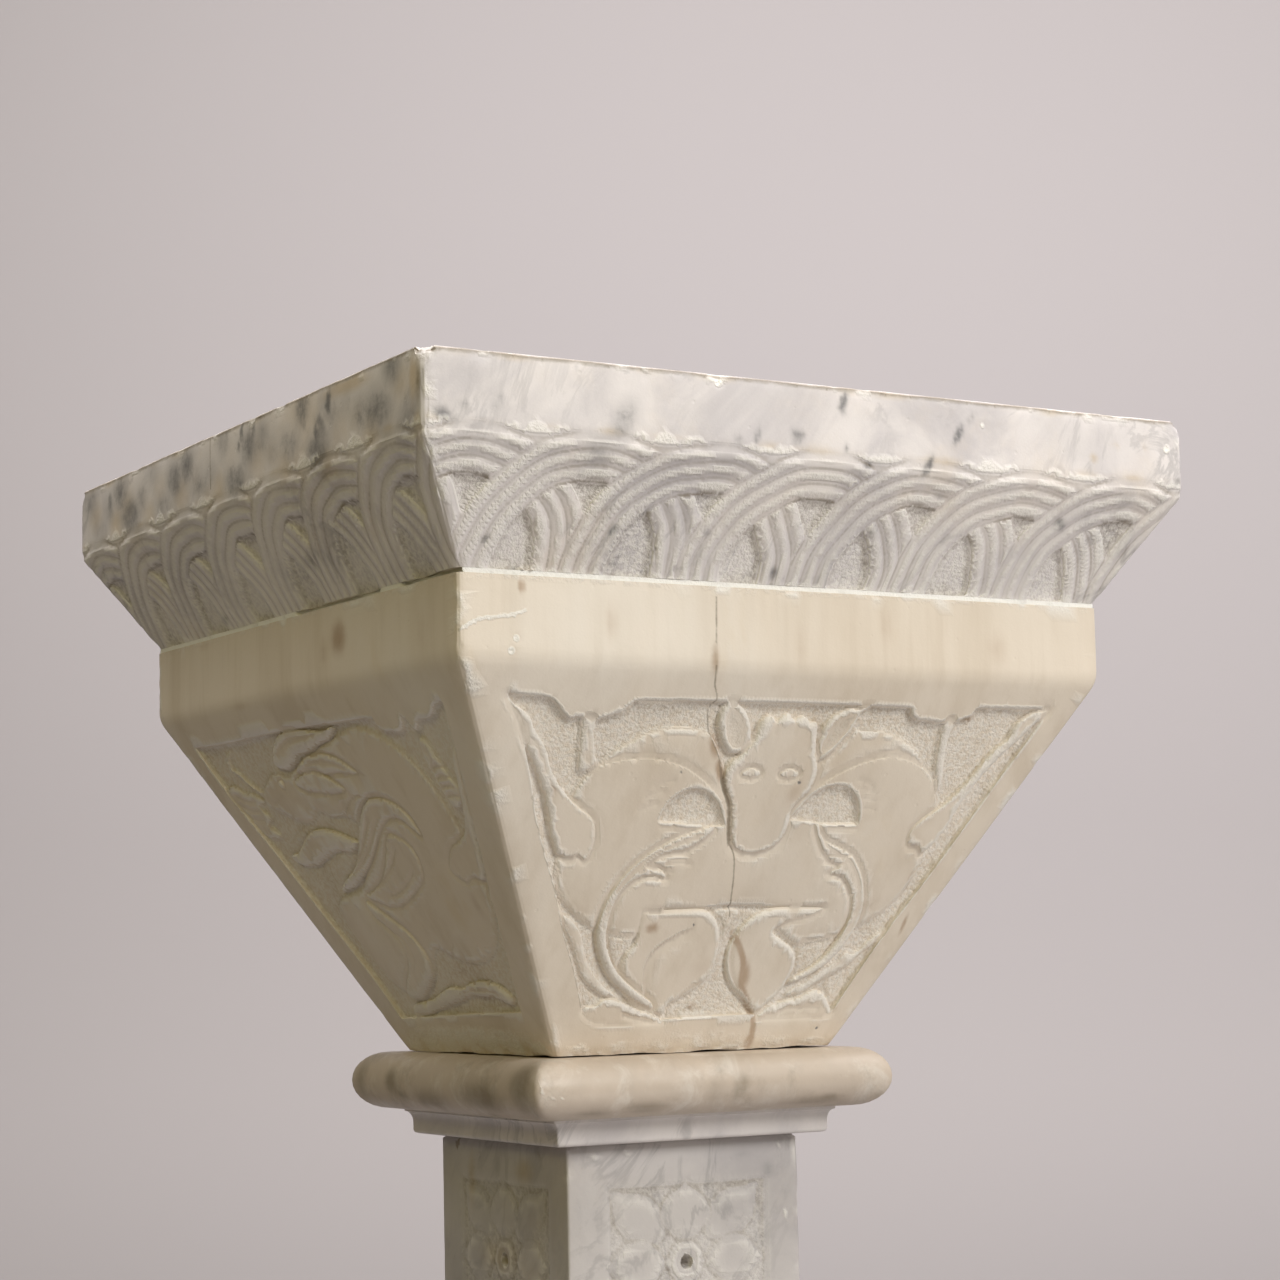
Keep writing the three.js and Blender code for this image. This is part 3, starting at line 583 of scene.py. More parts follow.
def capital_marks(relief, left):
    """The crack, brown stains, pits and bruises of the cream marble, and paler stone with painted light
    along its foot, in the two seen faces.
    """
    # Paler stone and painted light along the foot of the capital, just over the collar, stronger on the left
    # face.
    for x in range(-60, 61, 20):
        relief.dab("chalk_and_light", (x, 181), (13, 5), 0, 0.75 if left else 0.5)
    relief.dab("chalk_and_light", (0, 176), (90, 9), 0, 0.75 if left else 0.35)
    if left:
        relief.dabs("brown", CAPITAL_STAINS_LEFT)
        relief.gouge((-160, -14), 2.2, 0.6)
        return
    relief.line("crack_and_shade", HAIRLINE, 0.45, 0.75)
    relief.line("crack_and_shade", HAIRLINE_BESIDE_HEAD, 0.9, 0.9)
    relief.line("brown", HAIRLINE_STAIN, 1.6, 0.8)
    relief.dabs("brown", CAPITAL_STAINS_FRONT)
    for centre, size in CAPITAL_PITS:
        relief.gouge(centre, size, 0.8, 0)
        relief.dab("grey", centre, (size, size), 0, 1.4)
    relief.line("chalk_and_light", SCRATCH, 0.8, 0.9)
    relief.gouge((-134.7, -7.1), 1.7, 0.5)
    relief.gouge((-137, -2.2), 1.9, 0.5)
    relief.gouge((-160.5, -3), 2.4, 1.0, 0.6)


# ---- The stooping beast, on the two sides of the capital ----

STOOP_GROUND = [
    (-134, 17), (-134, 17), (-90, 17.4), (-40, 16.6), (20, 17.2), (60, 18.4), (63, 22), (67, 25),
    (73, 25.6), (80, 26.4), (85, 23.6), (88, 20), (91, 22), (94, 27), (97, 25.4), (101, 22.6),
    (110, 22.8), (116, 20.6), (121, 17.6), (130, 17), (130, 17), (121, 35), (111, 55), (102, 74),
    (95, 90), (88, 104), (81, 120), (73, 138), (62, 162), (62, 162), (20, 163), (-30, 165), (-60, 166.4),
    (-60, 166.4), (-67, 147), (-78, 126), (-89, 106), (-99, 86), (-109, 68), (-120, 49), (-128, 33),
]
STOOP_BODY = [
    (-62, 36), (-52, 38), (-44, 36.4), (-36, 33), (-24, 30), (0, 26), (18, 23), (30, 21), (40, 20.4),
    (50, 22.6), (60, 27), (69, 33), (76, 40), (81, 48), (84.5, 57), (87, 68), (87, 84), (84.5, 100),
    (80, 112), (73, 122), (64, 130.5), (53, 135.8), (41, 137.6), (28, 136.6), (17, 133), (9, 130),
    (2, 134), (-6, 142), (-16, 149), (-30, 155), (-42, 154), (-52, 148), (-60, 138), (-67, 125),
    (-71, 112), (-66, 103), (-50, 100), (-34, 97), (-22, 88), (-12, 78), (-4, 68), (-14, 62), (-30, 61.4),
    (-38, 58), (-45, 61), (-54, 63), (-64, 62), (-74, 58), (-84, 55), (-90, 50), (-86, 44), (-78, 39.6),
    (-70, 36.6),
]
EAR_UPPER = [
    (-58, 33), (-51, 25), (-43, 19.6), (-33, 17.2), (-20, 17), (-6, 18.2), (6, 19.8), (20, 18.6),
    (10, 24.6), (-2, 26), (-14, 28.6), (-28, 29.6), (-38, 33.4), (-48, 35.6),
]
EAR_LOWER = [
    (-40, 37), (-30, 33), (-18, 30.2), (-5, 30.4), (6, 32.6), (15, 37), (22, 42.4), (12, 42), (2, 40.6),
    (-9, 41), (-22, 39), (-32, 39),
]
STOOP_MANE = [(-46, 42), (-30, 38), (-18, 38.6), (-8, 42.6), (2, 49), (-10, 50.5), (-24, 49), (-38, 47)]
STOOP_LEG = [
    (-36, 104), (-27, 108.6), (-18, 114), (-10, 119.6), (-4.5, 127), (-3.5, 135), (-7, 142), (-14, 147.6),
    (-24, 152.6), (-34, 157), (-42, 153), (-36, 146), (-28, 140), (-22, 133), (-21, 125), (-27, 118),
    (-35, 112),
]
STOOP_FOOT = [
    (-46, 164.6), (-42, 158.4), (-32, 156.6), (-20, 155.2), (-9, 151.8), (2, 149.2), (13, 149.6),
    (22, 147.4), (33, 146.2), (44, 146.8), (52, 149.6), (57, 155), (52, 158.4), (42, 155.2), (30, 154.4),
    (18, 154), (8, 156.6), (-4, 158.6), (-18, 161.2), (-32, 164),
]
LIMB_UPPER = [
    (14, 56), (26, 54.6), (37, 56.4), (45, 60.4), (50.5, 67), (51.5, 75), (47, 72), (41, 67), (33, 65),
    (24, 66.8), (13, 72), (2, 78.4), (-10, 85), (-24, 91), (-40, 96.4), (-58, 99), (-48, 93), (-33, 87.4),
    (-20, 80), (-8, 70.8), (3, 62),
]
LIMB_LOWER = [
    (20, 72.6), (28, 73.6), (36, 78.4), (38, 86), (33, 95), (24, 99.6), (12, 104), (0, 107.4), (-12, 108),
    (-24, 105), (-34, 101.4), (-22, 99), (-10, 94.6), (0, 89), (10, 81),
]
ARM_FAR = [
    (-92, 78), (-82, 76.6), (-71, 72), (-60, 67.6), (-48, 66), (-36, 67.4), (-24, 71), (-15, 75),
    (-25, 79.4), (-37, 78.2), (-48, 79.2), (-58, 82), (-68, 84.6), (-80, 84.6), (-88, 83),
]
VINE = [(-100, 21.5), (-106, 25), (-107, 31), (-101, 35.2), (-94, 41.5), (-86, 45.5), (-80, 44)]
SIDE_LEAF = [
    (-124, 41), (-116, 39), (-107, 43), (-98, 44.6), (-90, 49.5), (-97, 52), (-92, 58), (-97, 62),
    (-91, 67.6), (-101, 69.4), (-109, 66), (-115, 56), (-121, 48),
]
RIBBED_LEAF = [
    (92, 30), (97, 33), (99, 41), (101, 48), (104, 55.5), (100, 62), (93, 64.6), (89, 57), (88, 47),
    (88.6, 38),
]
NEAR_LEAF = [
    (62, 92), (67, 85.5), (74, 81), (82, 78.6), (92, 73), (99, 64), (104, 55), (109, 46), (114, 39),
    (119, 37), (112, 52), (105, 66), (98, 79), (92, 91), (86, 98), (78, 96), (70, 98),
]


STOOP_GAPS = (
    # Outline and depth of the gaps between the limbs.
    ([(-50, 84), (-44, 79.6), (-34, 78.4), (-25, 80), (-31, 85.4), (-42, 90), (-52, 91)], 2.6),
    ([(-8, 66), (2, 59), (12, 54.6), (20, 54), (10, 60.4), (-2, 68), (-12, 75), (-16, 73)], 2.6),
    ([(-80, 70), (-70, 65.6), (-58, 64), (-48, 64.6), (-60, 68), (-72, 72.6)], 2.2),
)
LIMB_LINES = (
    [(12, 63), (0, 71.6), (-13, 79.6), (-30, 87.4), (-50, 94)],
    [(20, 64), (8, 71.6), (-6, 79.6), (-22, 87), (-40, 92.4)],
    [(24, 78), (12, 86.4), (-2, 93), (-18, 98.6)],
    [(30, 90), (18, 96.4), (4, 101), (-10, 103)],
)
EAR_LINES = (
    [(-46, 27), (-30, 22.4), (-12, 21.8), (6, 21.4)],
    [(-28, 35.4), (-12, 34), (4, 36.4), (14, 40)],
)


def stooping_beast(relief, ground):
    """A long-eared beast bent over its own curled limbs, among leaves, on a stippled ground."""
    relief.sink(STOOP_GROUND, ground)
    relief.cut(VINE, -2.2, 2.8)
    for leaf in (SIDE_LEAF, RIBBED_LEAF):
        relief.form(leaf, -0.9, edge=2.2)
    for y in (45, 49.5, 54, 58.5):
        relief.cut([(90, y + 0.6), (96, y - 0.6), (102, y + 0.8)], 0.9, 1.8)
    for y in (51, 56, 61):
        relief.cut([(-119, y - 7), (-108, y - 3), (-97, y - 2)], 0.6, 2.0)
    relief.form(STOOP_BODY, -0.55, edge=3.0, dome=1.1)
    relief.form(NEAR_LEAF, -0.6, edge=2.4, moat=0.9, run=4.0)
    relief.form(ARM_FAR, -0.5, edge=2.8, moat=1.0, run=3.0)
    for outline, depth in STOOP_GAPS:
        relief.sink(outline, depth, wall=1.5)
    relief.form(LIMB_LOWER, -0.35, edge=2.8, moat=1.0, run=3.0)
    relief.form(LIMB_UPPER, -0.15, edge=2.8, moat=1.2, run=3.4)
    for path in LIMB_LINES:
        relief.cut(path, 0.8, 2.2)
    relief.form(STOOP_LEG, -0.3, edge=3.0, moat=1.2, run=5.0)
    relief.cut([(-26, 118), (-16, 125), (-15, 134), (-24, 143)], 0.5, 2.4)
    relief.form(STOOP_FOOT, -0.5, edge=2.6, moat=0.8, run=3.0)
    relief.cut([(10, 153), (24, 151), (38, 151), (48, 153)], 0.7, 2.0)
    for mane in (EAR_UPPER, EAR_LOWER, STOOP_MANE):
        relief.form(mane, -0.2, edge=2.4, moat=1.1, run=3.0)
    for path in EAR_LINES:
        relief.cut(path, 0.6, 2.4)
    relief.cut([(-84, 50.6), (-74, 49.6), (-64, 46.8), (-54, 45.6)], 0.8, 2.2, side=1)
    relief.cut([(-36, 57.4), (-26, 60.8), (-14, 60), (-3, 55.4), (8, 52), (20, 53)], 1.4, 3.0, side=1)
    eye = arc((-60, 42.4), 2.6, 0, 360, 8)[:-1]
    relief.form(eye, -0.1, edge=1.4, moat=0.7, run=1.8)


# ---- The interlaced arches round the abacus ----

ARCH_PITCH = 53.7
ARCH_INNER, ARCH_OUTER = 37.0, 58.0
ARCH_BANDS = 3
ARCH_DROP = 52.0  # from the edge of the chamfer down to the centres
ARCH_OFFSET = -3.0  # of the arch nearest the middle of the face
ARCH_WALL = 0.9  # width of the slope down to the ground beside a rib
ARCH_REACH = 190  # from the middle of the face to its corners
BAND_FOOT = -8  # the upright band over the arches is plain above this
RIB_TOP, RIB_STEP = 0.3, 0.12  # depth of the ribs: each lies a step deeper than the one round it
RIB_GROOVE = 0.95  # depth of the grooves between ribs
RIB_FLATNESS = 2.5  # of the ribs between their grooves, as a power
RIB_SIDE = 0.5  # further depth of the slope beside the outer ribs
MARK_SPREAD = 1.35  # of the dark marks beyond their drawn sizes
HAIRLINE_HEIGHT = -33.2  # of the crack round the upright band
CLOUDS = 26  # soft grey and brown clouds along the left face's band


def interlaced_arches(relief, ground):
    """Round arches of three ribs, each laid over the one on its left."""
    x, y = relief.x, relief.y
    everywhere = np.arange(len(x))
    spandrel = smooth((y + 3.8) / 2.4)
    height = -ground * np.where(y > 9, 1, 0.35 + 0.65 * smooth((y - 1) / 8)) * spandrel
    stipple = smooth((y - 3) / 5)
    intrados_stain_and_shadow = np.zeros(len(x))
    rib = (ARCH_OUTER - ARCH_INNER) / ARCH_BANDS
    count = math.ceil(ARCH_REACH / ARCH_PITCH) + 1
    for k in range(-count, count + 1):
        along = ARCH_OFFSET + k * ARCH_PITCH + 1.2 * math.sin(2.3 * k)
        centre = np.array([along, ARCH_DROP + 0.8 * math.sin(4.1 * k)])
        way = np.stack([x, y], 1) - centre
        length_now = np.maximum(np.hypot(way[:, 0], way[:, 1]), 1)
        angle = np.arctan2(way[:, 1], way[:, 0])
        radius = length_now + 0.5 * np.sin(5 * angle + 2 * k) + 0.3 * np.sin(11 * angle + 5 * k)
        where = np.clip((radius - ARCH_INNER) / rib, 0, ARCH_BANDS)
        across = np.abs((where % 1) - 0.5) * 2
        top = -RIB_TOP - RIB_STEP * (ARCH_BANDS - np.floor(where)) - RIB_GROOVE * across**RIB_FLATNESS
        inside = (radius > ARCH_INNER) & (radius < ARCH_OUTER)
        outside = np.maximum(ARCH_INNER - radius, radius - ARCH_OUTER)
        wall = 1 - smooth(outside / ARCH_WALL)
        height = np.where(inside, top, height + (-RIB_SIDE - RIB_GROOVE - height) * wall)
        stipple = np.where(inside, 0, stipple * (1 - wall))
        # Dirt and painted shadow under the inner edge of each arch, towards its upper right.
        under = smooth((0.24 - where) / 0.2) * smooth((40 - y) / 18) * smooth((way[:, 0] + 22) / 16)
        intrados_stain_and_shadow = np.where(inside | (wall > 0.4) & (radius < ARCH_INNER), under, intrados_stain_and_shadow * (1 - wall))
        edge = ARCH_INNER + np.round(where) * rib
        foot = centre + way * (1 + (edge - radius) / length_now)[:, None]
        relief.note(everywhere, np.abs(radius - edge), foot, inside)
    above = smooth((-y - 3.0) / 3.6)
    relief.height = height * (1 - above)
    relief.stipple = stipple * (1 - above)
    # The dirt and painted shadow under the arches go into the dark crack marks.
    relief.marks["crack_and_shade"] = 0.75 * intrados_stain_and_shadow * (1 - above)
    relief.near = np.where(y > BAND_FOOT, relief.near, FAR)


STREAKS_FRONT = [
    # Place, size across and along, turn and strength of the dark marks in the abacus.
    ((-181, -8), (5, 3), 10, 0.8), ((-172, -11), (3, 2.4), 0, 0.7), ((-157, -15), (2.2, 5), 8, 0.8),
    ((-122, -31), (1.5, 2.4), 0, 0.5), ((-91, -33), (3, 2), 40, 0.6), ((-100, -12), (6, 11), 32, 0.62),
    ((-78, -23), (7, 1.6), -20, 0.3), ((4.5, -27), (2.0, 6), 24, 0.9), ((-18, -11), (3.4, 2.6), -30, 1.0),
    ((-38, -9.6), (1.4, 4.5), 14, 0.7), ((-47, -8), (2.2, 2.4), 10, 0.5),
    ((6, -8.5), (1.6, 2.4), 10, 0.6), ((64, -18.6), (1.7, 5.0), 28, 1.0),
    ((71, -26), (1.6, 4.5), 34, 0.5), ((48, -4), (2.0, 5.5), 30, 0.9), ((17, -2), (2.4, 1.6), 0, 0.8),
    ((108, -28), (9, 5), 20, 0.3), ((184, -6), (5, 2.2), -10, 0.8), ((136, -8), (1.6, 5), 8, 0.4),
    ((130, -22), (46, 14), 0, 0.3), ((-112, 3), (8, 8), 32, 0.5), ((-95, 35), (2.4, 3.4), 20, 0.9),
    ((-151, 42), (1.6, 3), 20, 0.7), ((-110, 11), (12, 1.6), 0, 0.55), ((126, 17.5), (4, 3), 40, 0.75),
    ((-14, 49), (2.4, 3.4), 0, 0.8), ((-52, 33), (2.6, 2), 0, 0.6), ((58, 9), (5, 2.4), 20, 0.5),
    ((29, 27), (1.6, 2.4), 0, 0.8),
]
STREAKS_LEFT = [
    ((-148, -22), (2, 6), 12, 0.8), ((-135, -27), (2, 5), 8, 0.5), ((-2, -32), (2.4, 5), 8, 0.6),
    ((15, -31), (2.2, 6), 10, 0.9), ((28, -28), (2.4, 6), 8, 0.7), ((11, -24), (1.6, 3.4), 8, 0.8),
    ((-48, -18), (1.8, 3.0), 0, 0.7), ((105, -26), (3.2, 5.4), 20, 1.0), ((95, -18), (3, 6), 16, 1.0),
    ((83, -21), (2, 3.0), 0, 0.8), ((102, -15), (2.6, 4), 0, 0.8), ((173, -13), (2, 5), 0, 0.6),
    ((172, -30), (2, 3), 0, 0.5), ((35, -33), (7, 1.6), 0, 0.5), ((44, 36), (2, 4), 10, 0.6),
    ((-69, 49), (2.6, 3), 0, 0.7), ((62, 7), (3, 2.4), 0, 0.5),
]


def abacus_marks(relief, left):
    """The marble's dark streaks, brown spots, bruises and hairline cracks, in the two seen faces."""
    for centre, (across, along), turn, strength in STREAKS_LEFT if left else STREAKS_FRONT:
        relief.dab("grey", centre, (MARK_SPREAD * across, MARK_SPREAD * along), turn, strength)
    if left:
        relief.line("crack_and_shade", [(-20.5, -34), (-20.8, -22), (-20.4, -10)], 0.35, 0.7)
        relief.gouge((27, 33), 1.6, 0.6)
        relief.gouge((79, 22), 2.4, 0.8)
        for centre, size in (((183, -22), (6, 12)), ((185, -5), (5, 5)), ((120, -30), (30, 3))):
            relief.dab("brown", centre, size, 0, 0.9)
        relief.dab("crack_and_shade", (187, -20), (2.6, 14), 0, 0.6)
        for i in range(CLOUDS):
            x, y = -176 + 14.2 * i, (-26, -12, -19)[i % 3] + 5 * math.sin(3.1 * i)
            relief.dab("grey", (x, y), (17 + 5 * math.sin(2 * i), 13), 8, 0.58 + 0.14 * math.sin(5 * i))
            relief.dab("brown", (x + 9, y + 8), (15, 12), 0, 0.46 + 0.13 * math.sin(4 * i + 1))
    else:
        for centre in ((150, -20), (138, -14), (168, -22)):
            relief.dab("brown", centre, (3.2, 3.2), 0, 0.7)
        relief.gouge((-56, -31), 2.6, 0.7)
        relief.gouge((77, -23.5), 1.8, 0.4, 0.6)
        relief.gouge((180, -21), 2.6, 0.4, 0.8)
    hairline = [(x, HAIRLINE_HEIGHT + 0.3 * math.sin(x)) for x in range(-187, 188, 11)]
    relief.line("crack_and_shade", hairline, 0.9, 0.8)
    for x in range(-180, 181, 24):
        upper, lower = (x + 7 * math.sin(x), -32.5), (x + 5 * math.sin(5 * x), -6.5)
        relief.dab("brown", upper, (14 + 6 * math.sin(3 * x), 2.6), 0, 0.4 + 0.2 * math.sin(7 * x))
        relief.dab("brown", lower, (13 + 5 * math.sin(2 * x), 2.8), 0, 0.42 + 0.2 * math.sin(4 * x))


# ---- The rosettes up the shaft ----

PANEL_LEFT, PANEL_RIGHT = -40.0, 43.0
PANEL_MARGIN = 18.5
PANELS = 8
EYE_SHIFT = 1.5  # of the rosettes to the left of their panels' middles
RING_RADIUS, CUP_RADIUS, EYE_HOLE = 9.5, 6.0, 3.25
PETAL = [
    (0, 9), (6, 12), (11, 19), (10, 26), (5, 31), (0, 35), (0, 35), (-5, 31), (-10, 26), (-11, 19),
    (-6, 12),
]
CORNER_LEAF = [
    (0, 14), (6.5, 18), (10, 27), (8.5, 35), (3.5, 42), (0, 47), (0, 47), (-3.5, 42), (-8.5, 35),
    (-10, 27), (-6.5, 18),
]


def turned(points, centre, degrees, stretch=1.0):
    """The points turned about (0, 0), stretched across and put round the centre."""
    c, s = math.cos(math.radians(degrees)), math.sin(math.radians(degrees))
    return [(centre[0] + (x * c - y * s) * stretch, centre[1] + x * s + y * c) for x, y in points]


def rosettes(relief, ground, height):
    """A sunk strip of square rosettes: four corner leaves, four petals and a ring round a drilled eye."""
    pitch = (height - 2 * PANEL_MARGIN) / PANELS
    top, foot = PANEL_MARGIN, height - PANEL_MARGIN
    corners = [(PANEL_LEFT, top), (PANEL_RIGHT, top), (PANEL_RIGHT, foot), (PANEL_LEFT, foot)]
    strip = [corner for corner in corners for _ in range(2)]
    relief.sink(strip, ground, wall=2.6, rough=0.7)
    middle = (PANEL_LEFT + PANEL_RIGHT) / 2
    wide = (PANEL_RIGHT - PANEL_LEFT) / pitch
    centres = [(middle - EYE_SHIFT, PANEL_MARGIN + pitch * (i + 0.5)) for i in range(PANELS)]
    for centre in centres:
        for quarter in range(4):
            leaf = turned(CORNER_LEAF, centre, 45 + 90 * quarter, wide)
            relief.form(leaf, -0.2, edge=6.0, moat=0.2, run=2.4)
            relief.line("chalk_and_light", [*leaf[:6], leaf[7]], 1.1, 0.4)
        for quarter in range(4):
            petal = turned(PETAL, centre, 90 * quarter, wide)
            relief.form(petal, -0.1, edge=6.0, moat=0.25, run=2.4)
            relief.line("chalk_and_light", [*petal[6:], petal[0]], 1.1, 0.4)
        relief.form(arc(centre, RING_RADIUS, 0, 360, 14)[:-1], -0.1, edge=3.6, moat=0.3, run=2.0)
        # Chalky stone and a painted highlight along the upper edge of the ring.
        relief.line("chalk_and_light", arc(centre, 8.6, 170, 330, 9), 1.2, 0.45)
        relief.sink(arc(centre, CUP_RADIUS, 0, 360, 12)[:-1], 0.7, wall=2.6, rough=0.2)
        relief.sink(arc(centre, EYE_HOLE, 0, 360, 10)[:-1], 7.0, wall=0.9, rough=0.4)
    for centre in centres:
        relief.finest(centre, 4.6)


SHAFT_STAINS = (((-30, 20), (5, 18), 6, 0.6), ((22, 14), (12, 9), 0, 0.6), ((-5, 52), (24, 12), 0, 0.6))
SHAFT_CRYSTALS = (
    ((-46, 6), (5, 3), 0, 0.7), ((-30, 4.6), (6, 2.4), 20, 0.7), ((49, 5), (2, 2.4), 0, 0.7),
    ((52, 37), (1.2, 4), 0, 0.7),
)
SHAFT_VEINS = (
    ((44, 16), (5, 5), 0, 0.5), ((-22, 64), (5, 3), 20, 0.5), ((53, 27), (3, 6), 30, 0.4),
    ((30, 9), (9, 3), -10, 0.3),
)


def shaft_marks(relief, left):
    """The chip, the bored spot and the whitish crystals under the collar, in the two seen faces."""
    if left:
        relief.line("crack_and_shade", [(-42, 2.4), (-42.6, 4), (-43.4, 5.6)], 0.7, 1.3)
        relief.dab("crack_and_shade", (35.5, 6), (0.9, 0.9), 0, 1.3)
        relief.dabs("brown", SHAFT_STAINS)
        return
    relief.dabs("chalk_and_light", SHAFT_CRYSTALS)
    relief.dabs("grey", SHAFT_VEINS)


# ---- Modelling a block of stone ----


def ring_edges(verts):
    """The edges that join the given vertices."""
    chosen = set(verts)
    return [e for e in {e for v in verts for e in v.link_edges} if all(v in chosen for v in e.verts)]


def square_stack(bm, profile):
    """A closed square block whose walls run through the profile's rings of (half width, height)."""
    half, z = profile[0]
    turn = Matrix.Translation((0, 0, z)) @ Matrix.Rotation(math.pi / 4, 4, "Z")
    corner_radius = half * math.sqrt(2)
    made = bmesh.ops.create_circle(bm, cap_ends=True, radius=corner_radius, segments=4, matrix=turn)
    verts = made["verts"]
    for (half, z), (next_half, next_z) in zip(profile, profile[1:]):
        made = bmesh.ops.extrude_edge_only(bm, edges=ring_edges(verts))["geom"]
        verts = [v for v in made if isinstance(v, bmesh.types.BMVert)]
        bmesh.ops.scale(bm, vec=(next_half / half, next_half / half, 1), verts=verts)
        bmesh.ops.translate(bm, vec=(0, 0, next_z - z), verts=verts)
    bmesh.ops.contextual_create(bm, geom=ring_edges(verts))
    bmesh.ops.recalc_face_normals(bm, faces=bm.faces[:])


def climbs(edge):
    """Whether an edge goes up the block."""
    return abs(edge.verts[0].co.z - edge.verts[1].co.z) > 1e-6


def round_arrises(bm, radius):
    """Rounds the upright corners of a square stack."""
    arrises = [e for e in bm.edges if climbs(e)]
    bmesh.ops.bevel(bm, geom=arrises, offset=radius, offset_type="OFFSET", segments=3, profile=0.5,
                    affect="EDGES", clamp_overlap=True, material=-1, loop_slide=True)


def cut_grid(bm, profile, cell):
    """Cuts the walls into an even grid of about the given cell."""
    widest = max(half for half, _ in profile) * 2
    cuts = max(1, round(widest / cell) - 1)
    long_ones = [e for e in bm.edges if not climbs(e) and e.calc_length() > widest / 8]
    bmesh.ops.subdivide_edges(bm, edges=long_ones, cuts=cuts, use_grid_fill=False)
    for (half, low), (next_half, high) in zip(profile, profile[1:]):
        slope = math.hypot(high - low, next_half - half)
        rows = max(0, round(slope / cell) - 1)
        rising = [e for e in bm.edges if climbs(e) and min(v.co.z for v in e.verts) > low - 1e-6
                  and max(v.co.z for v in e.verts) < high + 1e-6]
        if rows and rising:
            bmesh.ops.subdivide_edges(bm, edges=rising, cuts=rows, use_grid_fill=False)


def refine(bm, wanted, rounds):
    """Cuts the faces in half, round after round, where they are larger than wanted."""
    for _ in range(rounds):
        walls = [f for f in bm.faces if len(f.verts) < 12]
        centres = np.array([f.calc_center_median() for f in walls])
        sizes = np.array([max(e.calc_length() for e in f.edges) for f in walls])
        large = sizes > wanted(centres) * 1.5
        edges = {e for face, split in zip(walls, large) if split for e in face.edges}
        if not edges:
            return
        bmesh.ops.subdivide_edges(
            bm, edges=list(edges), cuts=1, use_grid_fill=True, quad_corner_type="INNER_VERT"
        )


class Face:
    """One of the four sides of a block: its outward direction, and coordinates on the unrolled face."""

    def __init__(self, quarter, profile, origin):
        angle = quarter * math.pi / 2
        self.out = np.array([math.sin(angle), -math.cos(angle)])
        self.right = np.array([math.cos(angle), math.sin(angle)])
        heights = np.array([z for _, z in profile])
        halves = np.array([half for half, _ in profile])
        slope = np.concatenate([[0], np.cumsum(np.hypot(np.diff(heights), np.diff(halves)))])
        self.heights, self.halves = heights + np.arange(len(heights)) * 1e-9, halves
        self.down = np.interp(origin, self.heights, slope) - slope

    def place(self, points):
        """x and y on the unrolled face in millimetres, the way out and the block's half width in metres."""
        across = points[:, :2] @ self.right
        outward = points[:, :2] @ self.out
        half = np.interp(points[:, 2], self.heights, self.halves)
        down = np.interp(points[:, 2], self.heights, self.down)
        return across / MM, down / MM, outward, half

    def shift(self, points, chosen, dx, dy):
        """Moves points along the face by millimetres."""
        across = points[chosen, :2] @ self.right + dx * MM
        outward = points[chosen, :2] @ self.out - np.interp(points[chosen, 2], self.heights, self.halves)
        down = np.interp(points[chosen, 2], self.heights, self.down) + dy * MM
        height = np.interp(down, self.down[::-1], self.heights[::-1])
        outward += np.interp(height, self.heights, self.halves)
        points[chosen, :2] = across[:, None] * self.right + outward[:, None] * self.out
        points[chosen, 2] = height


def weigh(outward, across, half, arris):
    """1 on the face, easing to a half on its rounded corners and 0 on the others and inside."""
    beside = np.clip((outward - np.abs(across)) / (2.4 * arris) + 0.5, 0, 1)
    return smooth(beside) * np.clip(1 - (half - outward - arris) / (0.3 * arris), 0, 1)


def fractal(points, size, seed, octaves=3):
    """Fractal noise about 0 at each point, with features of the given size."""
    shift = Vector((seed * 3.7, seed * 1.3, seed * 2.1))
    return np.array([noise.fractal(Vector(p) / size + shift, 1.0, 2.0, octaves) for p in points])


def eased(mesh, values, rounds, share_of_mean):
    """The values, each drawn towards the mean of those round it."""
    edges = np.zeros(len(mesh.edges) * 2, np.int32)
    mesh.edges.foreach_get("vertices", edges)
    a, b = edges.reshape(-1, 2).T
    links = np.bincount(a, minlength=len(values)) + np.bincount(b, minlength=len(values))
    mean = values.copy()
    for _ in range(rounds):
        total = np.bincount(a, mean[b], len(values)) + np.bincount(b, mean[a], len(values))
        mean = (1 - share_of_mean) * mean + share_of_mean * total / np.maximum(links, 1)
    return mean


def round_top_corners(points, half, top, radius):
    """Rounds the four top corners of a block like worn stone."""
    size = radius * (1 + 0.12 * np.clip(fractal(points, 0.012, 9), -1, 1))
    inside = np.column_stack([np.abs(points[:, :2]) - half, points[:, 2] - top]) + size[:, None]
    reach = np.linalg.norm(np.maximum(inside, 0), axis=1)
    worn = np.nonzero((inside > 0).all(1) & (reach > size))[0]
    pull = inside[worn] * (size[worn] / reach[worn] - 1)[:, None]
    points[worn] += pull * np.sign(points[worn])
    return worn


CARVED_REACH = 0.010  # the mesh is finer up to this far from a line of the carving
LEDGE_REACH = 0.003  # and up to this far from a worn level edge
LEDGE_WEAR = 0.005  # how far up and down from a level edge its wear runs
CORNER_REACH = 1.4  # how far the finer mesh goes beyond a rounded corner or arris
HOLLOW_GAIN = 4.5  # how strongly a hollow of a millimetre darkens with grime and painted shade
CORNER_RIM = 0.75  # how bruised the rounded top corners are


